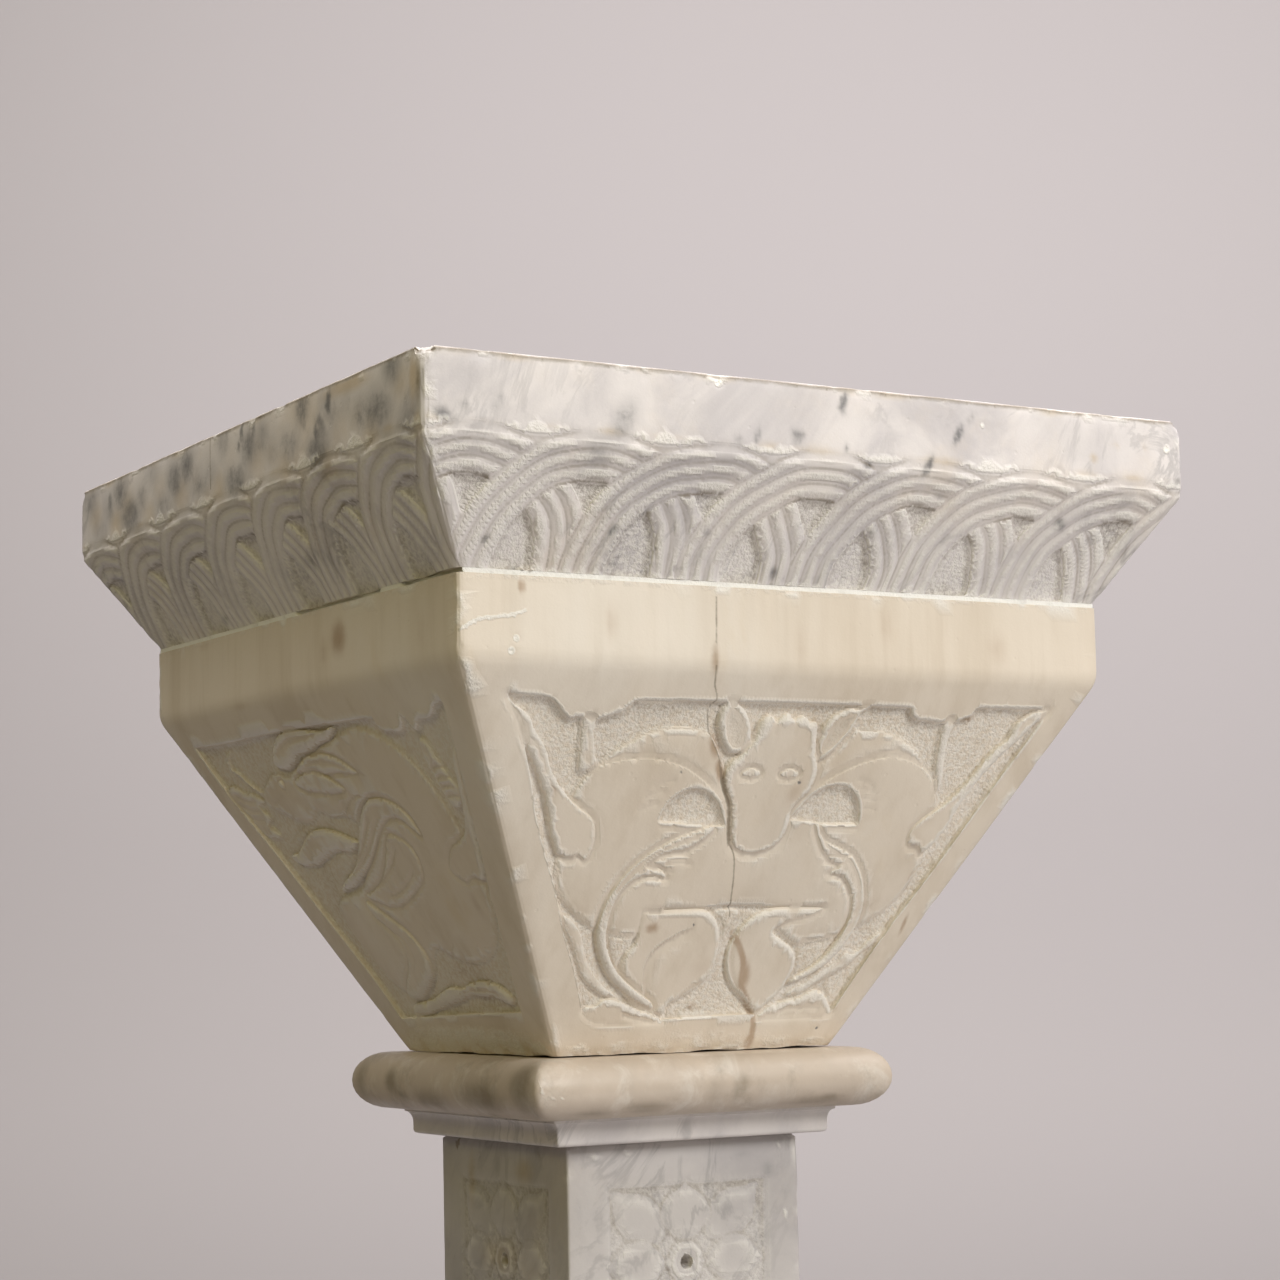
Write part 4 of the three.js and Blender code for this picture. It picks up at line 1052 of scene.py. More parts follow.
def carved_block(
    node, profile, carve, cells, origin=0.0, arris=0.003, wear=0.0005, bow=0.0005, ledges=(), corner=0.0,
    lift=0.0, drilled=0, easing=1, seed=1
):
    """Models one stone: stacked, rounded, gridded, refined along its carving, then cut and worn.

    carve(relief, quarter) draws on the face of that quarter turn. cells are the sizes of the plain, the
    carved and the finest mesh faces. ledges are the heights of worn level edges, corner rounds the top
    corners, lift raises the foot unevenly off its bed, drilled adds a finer mesh round small details and
    easing is how many times the depth of the cuts is evened out.
    """
    bm = bmesh.new()
    square_stack(bm, profile)
    round_arrises(bm, arris)
    cut_grid(bm, profile, cells[0])
    faces = [Face(quarter, profile, origin) for quarter in range(4)]
    halves, heights = np.array(profile).T
    low, high = heights[0], heights[-1]

    def draw(points):
        """Each face with its points, their weights, their relief and their distance to an arris."""
        drawn = []
        for quarter, face in enumerate(faces):
            x, y, outward, half = face.place(points)
            weight = weigh(outward, x * MM, half, arris)
            chosen = np.nonzero(weight > 0.01)[0]
            relief = Relief(x[chosen], y[chosen])
            carve(relief, quarter)
            drawn.append((face, chosen, weight[chosen], relief, half[chosen] - np.abs(x[chosen] * MM)))
        return drawn

    def wanted(centres):
        size = np.full(len(centres), cells[0])
        reach = np.abs(centres[:, :2]).max(1)
        for _, chosen, _, relief, gap in draw(centres):
            near = relief.near * MM
            coarser = np.where(near < 1.9 * cells[1], cells[1], cells[1] * 2)
            step = np.where(near < cells[2], cells[2], coarser)
            size[chosen] = np.minimum(size[chosen], np.where(near < CARVED_REACH, step, cells[0]))
            at_arris = gap < arris * CORNER_REACH
            size[chosen] = np.where(at_arris, np.minimum(size[chosen], cells[1]), size[chosen])
            size[chosen] = np.where(near < 0, cells[2] / 2, size[chosen])
        for ledge in ledges:
            level_with = np.abs(centres[:, 2] - ledge) < LEDGE_REACH
            at_ledge = level_with & (reach > np.interp(ledge, heights, halves) - LEDGE_REACH)
            size = np.where(at_ledge, np.minimum(size, cells[1]), size)
        if corner:
            upright = np.abs(centres[:, :2]).min(1) > max(halves) - CORNER_REACH * corner
            at_corner = upright & (high - centres[:, 2] < CORNER_REACH * corner)
            size = np.where(at_corner, np.minimum(size, cells[1]), size)
        return size

    refine(bm, wanted, round(math.log2(cells[0] / cells[2])) + drilled)
    bmesh.ops.triangulate(bm, faces=[f for f in bm.faces if len(f.verts) > 4])
    mesh = bpy.data.meshes.new(node)
    bm.to_mesh(mesh)
    bm.free()

    points = np.zeros(len(mesh.vertices) * 3)
    mesh.vertices.foreach_get("co", points)
    points = points.reshape(-1, 3)
    for face, chosen, weight, relief, _ in draw(points):
        dx, dy = relief.pull()
        snap = (np.hypot(dx, dy) < 0.45 * cells[2] / MM) & (weight > 0.95)
        face.shift(points, chosen[snap], dx[snap], dy[snap])

    values = {name: np.zeros(len(points)) for name in ("depth", "stipple", "rim", "chip", *MARKS)}
    small = np.abs(fractal(points, 0.006, seed)) * 0.35 + np.abs(fractal(points, 0.02, seed + 3)) * 0.5
    bite = np.clip(fractal(points, 0.014, seed + 5) - 0.22, 0, 1) * 3.2
    dip = (0.5 + 0.5 * np.clip(fractal(points, 0.09, seed + 7, 2), -1, 1)) * bow
    if corner:
        from_corner = np.linalg.norm(np.abs(points) - [max(halves), max(halves), high], axis=1)
        bite *= np.clip(from_corner / corner - 1.2, 0, 1)
    level = np.zeros(len(points))
    for ledge in ledges:
        level = np.maximum(level, np.clip(1 - np.abs(points[:, 2] - ledge) / LEDGE_WEAR, 0, 1))
    for face, chosen, weight, relief, gap in draw(points):
        cut = -relief.height * MM
        nearness = np.maximum(np.clip(1 - gap / (2.2 * arris), 0, 1), level[chosen])
        nibble = (small[chosen] + bite[chosen]) * wear * nearness**2
        chip = np.clip(bite[chosen] * nearness**2 * 2.5, 0, 1)
        shown = {"depth": cut, "stipple": relief.stipple, "rim": nearness, "chip": chip, **relief.marks}
        for name, now in shown.items():
            values[name][chosen] = np.maximum(values[name][chosen], now * weight)
        inset = np.zeros(len(points))
        inset[chosen] = (cut + dip[chosen] + nibble) * weight
        points[:, :2] -= eased(mesh, inset, easing, 0.5)[:, None] * face.out
    if corner:
        worn = round_top_corners(points, max(halves), high, corner)
        values["rim"][worn] = CORNER_RIM
    if lift:
        ragged = np.clip(0.35 + 1.3 * fractal(points * [1, 1, 0], 0.035, seed + 9), 0, 1) * lift
        points[:, 2] += ragged * np.clip(1 - (points[:, 2] - low) / 0.004, 0, 1)
    mesh.vertices.foreach_set("co", points.ravel())
    lower = eased(mesh, values.pop("depth"), 1, 0.5)
    values["hollow"] = np.clip((lower - eased(mesh, lower, 2, 0.6)) / MM * HOLLOW_GAIN, -1, 1)
    for name, now in values.items():
        mesh.attributes.new(name, "FLOAT", "POINT").data.foreach_set("value", now.astype(np.float32))
    mesh.shade_smooth()
    mesh.set_sharp_from_angle(angle=math.radians(50))
    piece = bpy.data.objects.new("carved_" + node, mesh)
    bpy.context.scene.collection.objects.link(piece)
    return piece


def finish_piece(piece, nodes, material):
    """Puts a finished piece on the column in place of its block."""
    piece.data.materials.clear()
    piece.data.materials.append(material)
    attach(piece, "root")
    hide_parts(*nodes)


def corner_profile(node):
    """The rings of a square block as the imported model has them, from foot to top."""
    rings = {}
    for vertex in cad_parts[node].data.vertices:
        x, y, z = vertex.co
        if abs(abs(x) - abs(y)) < 1e-5 and abs(x) > 0.02:
            key = round(z, 5)
            rings[key] = max(rings.get(key, 0), abs(x))
    return [(half, z) for z, half in sorted(rings.items())]


# ---- Materials ----


def add(tree, kind, inputs=None, **settings):
    """A shader node. An input given as a socket is linked, and anything else is its value."""
    made = tree.nodes.new("ShaderNode" + kind)
    for name, value in settings.items():
        setattr(made, name, value)
    for key, value in (inputs or {}).items():
        if isinstance(value, bpy.types.NodeSocket):
            tree.links.new(value, made.inputs[key])
        else:
            made.inputs[key].default_value = value
    return made


def rgba(values):
    """An opaque colour for a socket."""
    return (*values, 1.0)


def tinted(stone, tint):
    """The stone's colour with each of its three parts scaled."""
    return tuple(part * scale for part, scale in zip(stone, tint))


def mix(tree, factor, first, second, blend="MIX"):
    """A colour mix's result."""
    made = add(tree, "Mix", data_type="RGBA", blend_type=blend)
    for index, value in ((0, factor), (6, first), (7, second)):
        if isinstance(value, bpy.types.NodeSocket):
            tree.links.new(value, made.inputs[index])
        else:
            made.inputs[index].default_value = value
    return made.outputs[2]


def maths(tree, operation, *values, clamp=False):
    """The result of a sum on the values."""
    made = add(tree, "Math", operation=operation, use_clamp=clamp)
    for socket, value in zip(made.inputs, values):
        if isinstance(value, bpy.types.NodeSocket):
            tree.links.new(value, socket)
        else:
            socket.default_value = value
    return made.outputs[0]


def laid_over(tree, base, colour_over, mask, strength):
    """The base with a colour over it as far as the mask and the strength say."""
    return mix(tree, maths(tree, "MULTIPLY", mask, strength), base, rgba(colour_over))


def ranged(tree, value, low, high, to_low=0.0, to_high=1.0):
    """The value mapped smoothly from one range to another."""
    inputs = {0: value, 1: low, 2: high, 3: to_low, 4: to_high}
    return add(tree, "MapRange", inputs, interpolation_type="SMOOTHSTEP").outputs[0]


def noise_of(tree, vector, scale, detail=4.0, rough=0.55, distortion=0.0):
    """Noise about a half at each place."""
    inputs = {"Vector": vector, "Scale": scale, "Detail": detail, "Roughness": rough}
    inputs["Distortion"] = distortion
    return add(tree, "TexNoise", inputs).outputs[0]


def stretched(tree, vector, by, turn=(0, 0, 0), shift=(0, 0, 0)):
    """Coordinates in which a pattern comes out longer by the given amounts along turned axes."""
    inputs = {"Vector": vector, "Scale": by, "Rotation": turn, "Location": shift}
    return add(tree, "Mapping", inputs, vector_type="TEXTURE").outputs[0]


def new_group(name, inputs, outputs):
    """A node group with named sockets: (name, type, default) going in, (name, type) coming out."""
    tree = bpy.data.node_groups.new(name, "ShaderNodeTree")
    for socket_name, kind, default in inputs:
        made = tree.interface.new_socket(socket_name, in_out="INPUT", socket_type="NodeSocket" + kind)
        if default is not None:
            made.default_value = default
    for socket_name, kind in outputs:
        tree.interface.new_socket(socket_name, in_out="OUTPUT", socket_type="NodeSocket" + kind)
    return tree, tree.nodes.new("NodeGroupInput").outputs, tree.nodes.new("NodeGroupOutput").inputs


def use_group(tree, group, **inputs):
    """A group's outputs. An underscore in a name stands for a space."""
    made = tree.nodes.new("ShaderNodeGroup")
    made.node_tree = group
    for key, value in inputs.items():
        socket = made.inputs[key.replace("_", " ")]
        if isinstance(value, bpy.types.NodeSocket):
            tree.links.new(value, socket)
        else:
            socket.default_value = value
    return made.outputs


LEAN = (0.42, 0.46, 0)  # how the clouds and streaks of the marble lean
# What the clouds, the warm stain and the brown spots take from the colour of a white or grey stone.
CLOUD_TINT, STAIN_TINT, BROWN_TINT = (0.63, 0.63, 0.67), (1, 0.91, 0.76), (0.8, 0.68, 0.47)
# What the upright streaks and the spots take from the colour of the cream stone.
DEEP_TINT, HONEY_TINT = (0.80, 0.76, 0.70), (0.86, 0.78, 0.60)


def veins_group():
    """Soft grey clouds, thin smoky veins and darker short streaks that lean one way through the stone."""
    tree, given, result = new_group(
        "marble_veins",
        [("Place", "Vector", None), ("Size", "Float", 1.0), ("Amount", "Float", 0.5)],
        [("Cloud", "Float"), ("Wisp", "Float"), ("Streak", "Float")],
    )
    place = add(tree, "VectorMath", {0: given["Place"], 3: given["Size"]}, operation="SCALE").outputs[0]
    cloud = noise_of(tree, stretched(tree, place, (1, 1, 2.0), turn=LEAN), 19.0, 6.0, 0.62, 0.5)
    tree.links.new(ranged(tree, cloud, 0.40, 0.70), result["Cloud"])
    drift = stretched(tree, place, (1, 1, 2.6), turn=LEAN, shift=(0.2, 0.7, 0.4))
    smoke = noise_of(tree, drift, 24.0, 6.0, 0.62, 1.2)
    wisp = ranged(tree, maths(tree, "ABSOLUTE", maths(tree, "SUBTRACT", smoke, 0.5)), 0.0, 0.045, 1.0, 0.0)
    patch = ranged(tree, noise_of(tree, place, 8.0, 3.0, 0.55), 0.46, 0.62)
    tree.links.new(maths(tree, "MULTIPLY", wisp, patch), result["Wisp"])
    lean = stretched(tree, place, (1, 1, 3.0), turn=LEAN, shift=(0.31, 0.4, 0.17))
    streak = ranged(tree, noise_of(tree, lean, 95.0, 4.0, 0.6, 0.6), 0.58, 0.76)
    group = ranged(tree, noise_of(tree, place, 11.0, 2.0, 0.5), 0.50, 0.64)
    both = maths(tree, "MULTIPLY", streak, group)
    tree.links.new(maths(tree, "MULTIPLY", both, given["Amount"], clamp=True), result["Streak"])
    return tree


def attribute(tree, name):
    """A value that the mesh carries at each vertex."""
    return add(tree, "Attribute", attribute_name=name).outputs["Fac"]


def marked(tree, name, ragged, low=0.25, high=0.7):
    """A mark of the mesh with its outline broken up by noise."""
    mark = attribute(tree, name)
    uneven = maths(tree, "MULTIPLY", maths(tree, "SUBTRACT", ragged, 0.5), mark)
    return ranged(tree, maths(tree, "ADD", mark, maths(tree, "MULTIPLY", uneven, 1.6)), low, high)


def wear_and_shading_group():
    """The marks in the stone, grime and painted shade in its hollows, and bruised, paler stone on its ridges
    and chips.
    """
    # The Dirt colour is both grime and painted shade; Dirt Amount sets how much grime and painted shade the
    # hollows get.
    tree, given, result = new_group(
        "stone_wear_and_shading",
        [("Place", "Vector", None), ("Stone", "Color", (0.8, 0.8, 0.8, 1)),
         ("Vein", "Color", (0.2, 0.2, 0.2, 1)), ("Brown", "Color", (0.4, 0.3, 0.2, 1)),
         ("Dirt", "Color", (0.2, 0.2, 0.2, 1)), ("Chalk", "Color", (0.9, 0.9, 0.9, 1)),
         ("Dirt Amount", "Float", 0.6), ("Chalk Amount", "Float", 0.5)],
        [("Color", "Color"), ("Ground", "Float"), ("Bruise", "Float")],
    )
    hollow, ground, rim, chip = (attribute(tree, name) for name in ("hollow", "stipple", "rim", "chip"))
    fine = noise_of(tree, given["Place"], 240.0, 4.0, 0.65)
    cloud = noise_of(tree, given["Place"], 26.0, 5.0, 0.65)
    browned = maths(tree, "MULTIPLY", marked(tree, "brown", cloud, 0.1, 0.9), 0.75)
    colour_now = mix(tree, browned, given["Stone"], given["Brown"])
    halo = maths(tree, "MULTIPLY", marked(tree, "grey", cloud, 0.05, 0.85), 0.55)
    colour_now = mix(tree, halo, colour_now, given["Vein"])
    core = maths(tree, "MULTIPLY", marked(tree, "grey", fine, 0.34, 0.95), 0.8)
    colour_now = mix(tree, core, colour_now, given["Vein"])
    # Cracks, and the dirt and painted shadow under the arches, in the dirt colour.
    crack_and_shade = maths(tree, "MULTIPLY", marked(tree, "crack_and_shade", fine, 0.1, 0.9), 0.8)
    colour_now = mix(tree, crack_and_shade, colour_now, given["Dirt"])
    # Grime and painted shade in the hollows: the deeper the hollow, the more of the dirt colour.
    uneven = ranged(tree, cloud, 0.3, 0.75, 0.25, 1.0)
    deep = ranged(tree, hollow, 0.02, 0.75)
    dirt_and_shade = maths(tree, "MULTIPLY", maths(tree, "MULTIPLY", deep, uneven), given["Dirt Amount"], clamp=True)
    colour_now = mix(tree, dirt_and_shade, colour_now, given["Dirt"])
    grain = noise_of(tree, given["Place"], 480.0, 3.0, 0.6)
    pale = maths(tree, "MULTIPLY", ground, ranged(tree, grain, 0.36, 0.62, 0.0, 1.0))
    ridge = ranged(tree, hollow, -0.16, -0.8)
    edge = maths(tree, "MULTIPLY", ranged(tree, rim, 0.5, 1.0), ranged(tree, fine, 0.42, 0.66))
    light = maths(tree, "MAXIMUM", maths(tree, "MULTIPLY", pale, 0.6), maths(tree, "MULTIPLY", ridge, 0.75))
    light = maths(tree, "MAXIMUM", light, maths(tree, "MULTIPLY", edge, 0.55))
    # Chalk marks, among them the painted light along the capital's foot and the painted highlight on the
    # rosettes' rings.
    light = maths(tree, "MAXIMUM", light, maths(tree, "MAXIMUM", chip, marked(tree, "chalk_and_light", fine)))
    light = maths(tree, "MULTIPLY", light, given["Chalk Amount"], clamp=True)
    light = maths(tree, "MULTIPLY", light, maths(tree, "SUBTRACT", 1.0, crack_and_shade))
    tree.links.new(mix(tree, light, colour_now, given["Chalk"]), result["Color"])
    tree.links.new(ground, result["Ground"])
    tree.links.new(light, result["Bruise"])
    return tree


def tooling_group():
    """Height of the stone's fine surface: polished faces, punched ground, crystals and small pits."""
    tree, given, result = new_group(
        "stone_tooling",
        [("Place", "Vector", None), ("Ground", "Float", 0.0), ("Bruise", "Float", 0.0),
         ("Pit Size", "Float", 600.0), ("Polish", "Float", 0.5)],
        [("Height", "Float"), ("Roughness", "Float")],
    )
    punch = noise_of(tree, given["Place"], given["Pit Size"], 2.0, 0.6, 0.3)
    broad = noise_of(tree, given["Place"], 190.0, 2.0, 0.5)
    punched = maths(tree, "ADD", maths(tree, "MULTIPLY", punch, 3.6), maths(tree, "MULTIPLY", broad, 1.8))
    punched = maths(tree, "MULTIPLY", punched, maths(tree, "MAXIMUM", given["Ground"], given["Bruise"]))
    crystal = noise_of(tree, given["Place"], 1000.0, 2.0, 0.6)
    wave = noise_of(tree, given["Place"], 55.0, 3.0, 0.5)
    pits = add(tree, "TexVoronoi", {"Vector": given["Place"], "Scale": 90.0}, feature="F1").outputs[0]
    pit = ranged(tree, pits, 0.04, 0.09)
    height = maths(tree, "ADD", punched, maths(tree, "MULTIPLY", crystal, 0.16))
    height = maths(tree, "ADD", height, maths(tree, "MULTIPLY", wave, 1.1))
    height = maths(tree, "ADD", height, maths(tree, "MULTIPLY", pit, 0.25))
    tree.links.new(height, result["Height"])
    dull = maths(tree, "SUBTRACT", 0.72, maths(tree, "MULTIPLY", given["Polish"], 0.42))
    rough = maths(tree, "ADD", dull, maths(tree, "MULTIPLY", given["Ground"], 0.25))
    rough = maths(tree, "ADD", rough, ranged(tree, wave, 0.35, 0.7, -0.05, 0.08), clamp=True)
    tree.links.new(rough, result["Roughness"])
    return tree


class Kit:
    """The shared node groups, made once."""

    groups = {}

    @classmethod
    def get(cls, name, maker):
        """The named group, made by its maker the first time."""
        if name not in cls.groups:
            cls.groups[name] = maker()
        return cls.groups[name]


def begin(name):
    """A new material, its node tree and the place on the object."""
    material = bpy.data.materials.new(name)
    material.use_nodes = True
    tree = material.node_tree
    tree.nodes.clear()
    place = add(tree, "TexCoord").outputs["Object"]
    return material, tree, place


def close(tree, base, roughness, height, strength=0.35, distance=0.0009, **constants):
    """Ends a material in its shader. Constants are set on the shader's own sockets."""
    bump = add(tree, "Bump", {"Strength": strength, "Distance": distance, "Height": height}).outputs[0]
    shader = add(tree, "BsdfPrincipled", {"Base Color": base, "Roughness": roughness, "Normal": bump})
    for key, value in constants.items():
        shader.inputs[key.replace("_", " ")].default_value = value
    output = add(tree, "OutputMaterial")
    tree.links.new(shader.outputs[0], output.inputs[0])


def stone_parts(tree, place, stone, dirt_and_shade, chalk_and_light, polish, brown, pit_size=720.0):
    """Wear, grime with painted shade in the hollows, and tooling over a stone colour: the colour, the
    roughness and the height.
    """
    colours = bpy.context.scene.pedestal_colours
    worn = use_group(tree, Kit.get("wear", wear_and_shading_group), Place=place, Stone=stone, Vein=rgba(colours.vein),
                     Brown=rgba(brown), Dirt=rgba(colours.grime_and_shade), Chalk=rgba(colours.chalk_and_light),
                     Dirt_Amount=dirt_and_shade, Chalk_Amount=chalk_and_light)
    tooled = use_group(tree, Kit.get("tooling", tooling_group), Place=place, Ground=worn["Ground"],
                       Bruise=worn["Bruise"], Pit_Size=pit_size, Polish=polish)
    return worn["Color"], tooled["Roughness"], tooled["Height"]


def veined_marble(name, stone, size, streaks, clouds, warmth, polish, dirt_and_shade=0.5, chalk_and_light=0.5):
    """White or grey marble with grey clouds, dark streaks and a warm stain that comes and goes."""
    colours = bpy.context.scene.pedestal_colours
    material, tree, place = begin(name)
    veins = use_group(tree, Kit.get("veins", veins_group), Place=place, Size=size, Amount=streaks)
    base = laid_over(tree, rgba(stone), tinted(stone, CLOUD_TINT), veins["Cloud"], clouds)
    base = laid_over(tree, base, colours.vein, veins["Wisp"], 0.5 * clouds)
    base = laid_over(tree, base, colours.vein, veins["Streak"], 0.7)
    stain = ranged(tree, noise_of(tree, place, 11.0, 6.0, 0.62, 0.3), 0.48, 0.74)
    base = laid_over(tree, base, tinted(stone, STAIN_TINT), stain, warmth)
    brown = tinted(stone, BROWN_TINT)
    base, rough, height = stone_parts(tree, place, base, dirt_and_shade, chalk_and_light, polish, brown)
    close(tree, base, rough, height)
    return material


def cream_marble():
    """Cream marble with upright brownish streaks and honey-coloured spots."""
    colours = bpy.context.scene.pedestal_colours
    material, tree, place = begin("cream_marble")
    cream = tuple(colours.cream)
    broad = ranged(tree, noise_of(tree, stretched(tree, place, (1, 1, 7)), 24.0, 5.0, 0.6, 0.2), 0.45, 0.75)
    deep_cream = tinted(cream, DEEP_TINT)
    base = laid_over(tree, rgba(cream), deep_cream, broad, 0.6)
    thread = ranged(tree, noise_of(tree, stretched(tree, place, (1, 1, 12)), 90.0, 4.0, 0.6), 0.46, 0.72)
    base = laid_over(tree, base, deep_cream, thread, 0.35)
    pale = noise_of(tree, stretched(tree, place, (1, 1, 3), shift=(2, 1, 0)), 10.0, 4.0)
    base = mix(tree, ranged(tree, pale, 0.5, 0.75, 0, 0.35), base, rgba(colours.chalk_and_light))
    blot = ranged(tree, noise_of(tree, stretched(tree, place, (1, 1, 2.6)), 34.0, 4.0, 0.6, 0.2), 0.62, 0.80)
    base = laid_over(tree, base, tinted(cream, HONEY_TINT), blot, 0.3)
    base, rough, height = stone_parts(tree, place, base, 0.24, 0.85, 0.55, colours.streak)
    close(tree, base, rough, height)
    return material


def stained_marble():
    """Beige, handled and polished marble with dark smudges."""
    colours = bpy.context.scene.pedestal_colours
    material, tree, place = begin("stained_marble")
    stone = tuple(colours.stained)
    cloud = ranged(tree, noise_of(tree, place, 14.0, 5.0, 0.6, 0.5), 0.35, 0.7)
    lighter = tuple(min(1.0, 1.18 * c) for c in stone)
    base = mix(tree, cloud, rgba(stone), rgba(lighter))
    pale = ranged(tree, noise_of(tree, place, 60.0, 5.0, 0.65, 0.6), 0.48, 0.72)
    base = laid_over(tree, base, colours.chalk_and_light, pale, 0.35)
    smudge = ranged(tree, noise_of(tree, place, 30.0, 6.0, 0.7, 0.3), 0.50, 0.76)
    base = laid_over(tree, base, colours.grime_and_shade, smudge, 0.5)
    base, rough, height = stone_parts(tree, place, base, 0.4, 0.5, 0.6, colours.grime_and_shade)
    close(tree, base, rough, height, strength=0.3, Coat_Weight=0.08, Coat_Roughness=0.16)
    return material


def plaster_material():
    """Hand-pressed plaster with sand grains and a little dirt."""
    colours = bpy.context.scene.pedestal_colours
    material, tree, place = begin("bedding_plaster")
    grain = noise_of(tree, place, 700.0, 4.0, 0.7)
    lump = noise_of(tree, place, 120.0, 3.0, 0.6)
    base = mix(tree, ranged(tree, lump, 0.5, 0.75, 0.0, 0.2), rgba(colours.plaster), rgba(colours.grime_and_shade))
    height = maths(tree, "ADD", grain, lump)
    close(tree, base, ranged(tree, grain, 0.3, 0.7, 0.8, 0.95), height, strength=0.6)
    return material


def iron_material():
    """Wrought iron with rust bloom."""
    colours = bpy.context.scene.pedestal_colours
    material, tree, place = begin("dowel_iron")
    bloom = ranged(tree, noise_of(tree, place, 160.0, 5.0, 0.65), 0.45, 0.65)
    base = mix(tree, bloom, rgba(colours.iron), (0.23, 0.09, 0.035, 1))
    metal = maths(tree, "SUBTRACT", 0.9, maths(tree, "MULTIPLY", bloom, 0.8))
    rough = ranged(tree, bloom, 0.0, 1.0, 0.45, 0.9)
    height = noise_of(tree, place, 500.0, 4.0, 0.7)
    bump = add(tree, "Bump", {"Strength": 0.5, "Distance": 0.0006, "Height": height}).outputs[0]
    inputs = {"Base Color": base, "Roughness": rough, "Metallic": metal, "Normal": bump}
    shader = add(tree, "BsdfPrincipled", inputs)
    tree.links.new(shader.outputs[0], add(tree, "OutputMaterial").inputs[0])
    return material


# ---- One operator for each piece or group of like pieces ----


# The plain, carved and finest sizes of mesh face.
COLLAR_CELLS = (0.004, 0.002, 0.001)
SLAB_CELLS = (0.003, 0.002, 0.0015)
SHAFT_CELLS = (0.006, 0.003, 0.0015)
PLINTH_CELLS = (0.006, 0.003, 0.003)
JOINT_CELLS = (0.002, 0.0015, 0.001)


def cells_from(fine):
    """The plain, carved and finest sizes of mesh face for a fine size."""
    return 8 * fine, 2 * fine, fine


class PEDESTAL_OT_abacus(bpy.types.Operator):
    """Carve the abacus: an upright band over a chamfer with interlaced arches"""

    bl_idname = "pedestal.abacus"
    bl_label = "Abacus"

    def execute(self, context):
        sizes = context.scene.pedestal_carving
        (foot, foot_z), (half, edge) = corner_profile("abacus")[:2]
        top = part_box("abacus")[1].z
        profile = [(foot, foot_z), (half, edge), (half, top - 0.0009), (half - 0.0008, top - 0.00003)]
        profile += [(half - 0.012, top - 0.00001), (half - 0.03, top)]

        def carve(relief, quarter):
            interlaced_arches(relief, sizes.arch_ground / MM)
            if quarter % 3 == 0:
                abacus_marks(relief, quarter == 3)

        cells = cells_from(1.09 * sizes.fine_cell)
        piece = carved_block("abacus", profile, carve, cells, origin=edge, wear=0.0007, arris=sizes.arris,
                             bow=sizes.unevenness, ledges=(top,), corner=0.006, easing=2, seed=3)
        colours = context.scene.pedestal_colours
        marble = veined_marble("white_marble", tuple(colours.white), 1.0, 0.7, 0.7, 0.5, 0.5, chalk_and_light=0.95)
        finish_piece(piece, ["abacus"], marble)
        return {"FINISHED"}


class PEDESTAL_OT_capital(bpy.types.Operator):
    """Carve the capital: an upright band over a square taper with beasts in low relief"""

    bl_idname = "pedestal.capital"
    bl_label = "Capital"

    def execute(self, context):
        sizes = context.scene.pedestal_carving
        (foot, foot_z), (half, band_z), (_, top_z) = corner_profile("capital")
        lean = math.atan2(half - foot, band_z - foot_z)
        radius = sizes.shoulder / math.tan(lean / 2) / 2
        profile = [(foot, foot_z)]
        for i in range(5):
            angle = lean * (1 - i / 4)
            out = half - radius * (1 - math.cos(angle))
            profile.append((out, band_z + radius * (math.tan(lean / 2) - math.sin(angle))))
        profile.append((half, top_z))

        def carve(relief, quarter):
            if quarter % 2 == 0:
                two_bodied_beast(relief, sizes.ground / MM)
            else:
                if quarter == 1:
                    relief.mirror()
                stooping_beast(relief, sizes.ground / MM)
            if quarter % 3 == 0:
                capital_marks(relief, quarter == 3)

        cells = cells_from(1.10 * sizes.fine_cell)
        piece = carved_block("capital", profile, carve, cells, origin=band_z + 0.0007, arris=sizes.arris,
                             bow=sizes.unevenness, ledges=(foot_z, top_z), lift=0.0011, seed=11)
        finish_piece(piece, ["capital"], cream_marble())
        return {"FINISHED"}


def nose_profile(node, facets=14):
    """A half-round nose the full height of the block."""
    low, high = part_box(node)
    radius = (high.z - low.z) / 2
    profile = []
    for i in range(facets + 1):
        angle = -math.pi / 2 + math.pi * i / facets
        half = high.x - radius + radius * math.cos(angle)
        profile.append((half, low.z + radius + radius * math.sin(angle)))
    return profile


def plain_carve(relief, quarter):
    """Leaves the face uncut."""


COLLAR_SMUDGES_LEFT = (
    # Place, size across and along, turn and strength.
    ((-48, 20), (9, 8), 20, 1.0), ((-38, 26), (6, 4), 0, 0.8), ((40, 24), (30, 10), 0, 0.8),
    ((76, 18), (12, 16), 0, 0.9), ((-10, 28), (26, 8), 0, 0.6), ((-80, 20), (8, 16), 0, 0.6),
)
COLLAR_SMUDGES_FRONT = (
    ((10, 22), (6, 10), 30, 0.6), ((0, 14), (6, 4), -40, 0.5), ((-36, 30), (16, 5), 0, 0.6),
    ((50, 31), (26, 4), 0, 0.6), ((-62, 32), (12, 4), 0, 0.6), ((58, 30), (8, 4), 0, 0.7),
    ((-4, 24), (8, 10), 0, 0.5), ((84, 30), (6, 4), 0, 0.6), ((10, 6), (80, 5), 0, 0.4),
)
COLLAR_BRUISES = (
    # Place and size.
    ((-90, 15), (0.8, 2.4)), ((-89.4, 20), (1.0, 3)), ((-87, 24), (2.4, 1.0)), ((-83.4, 23), (1.6, 0.9)),
    ((-81, 25.6), (1.4, 0.8)), ((-86, 26.8), (1.8, 0.8)), ((-79, 23.4), (0.9, 0.7)),
    ((-90, 27), (0.9, 1.6)),
)


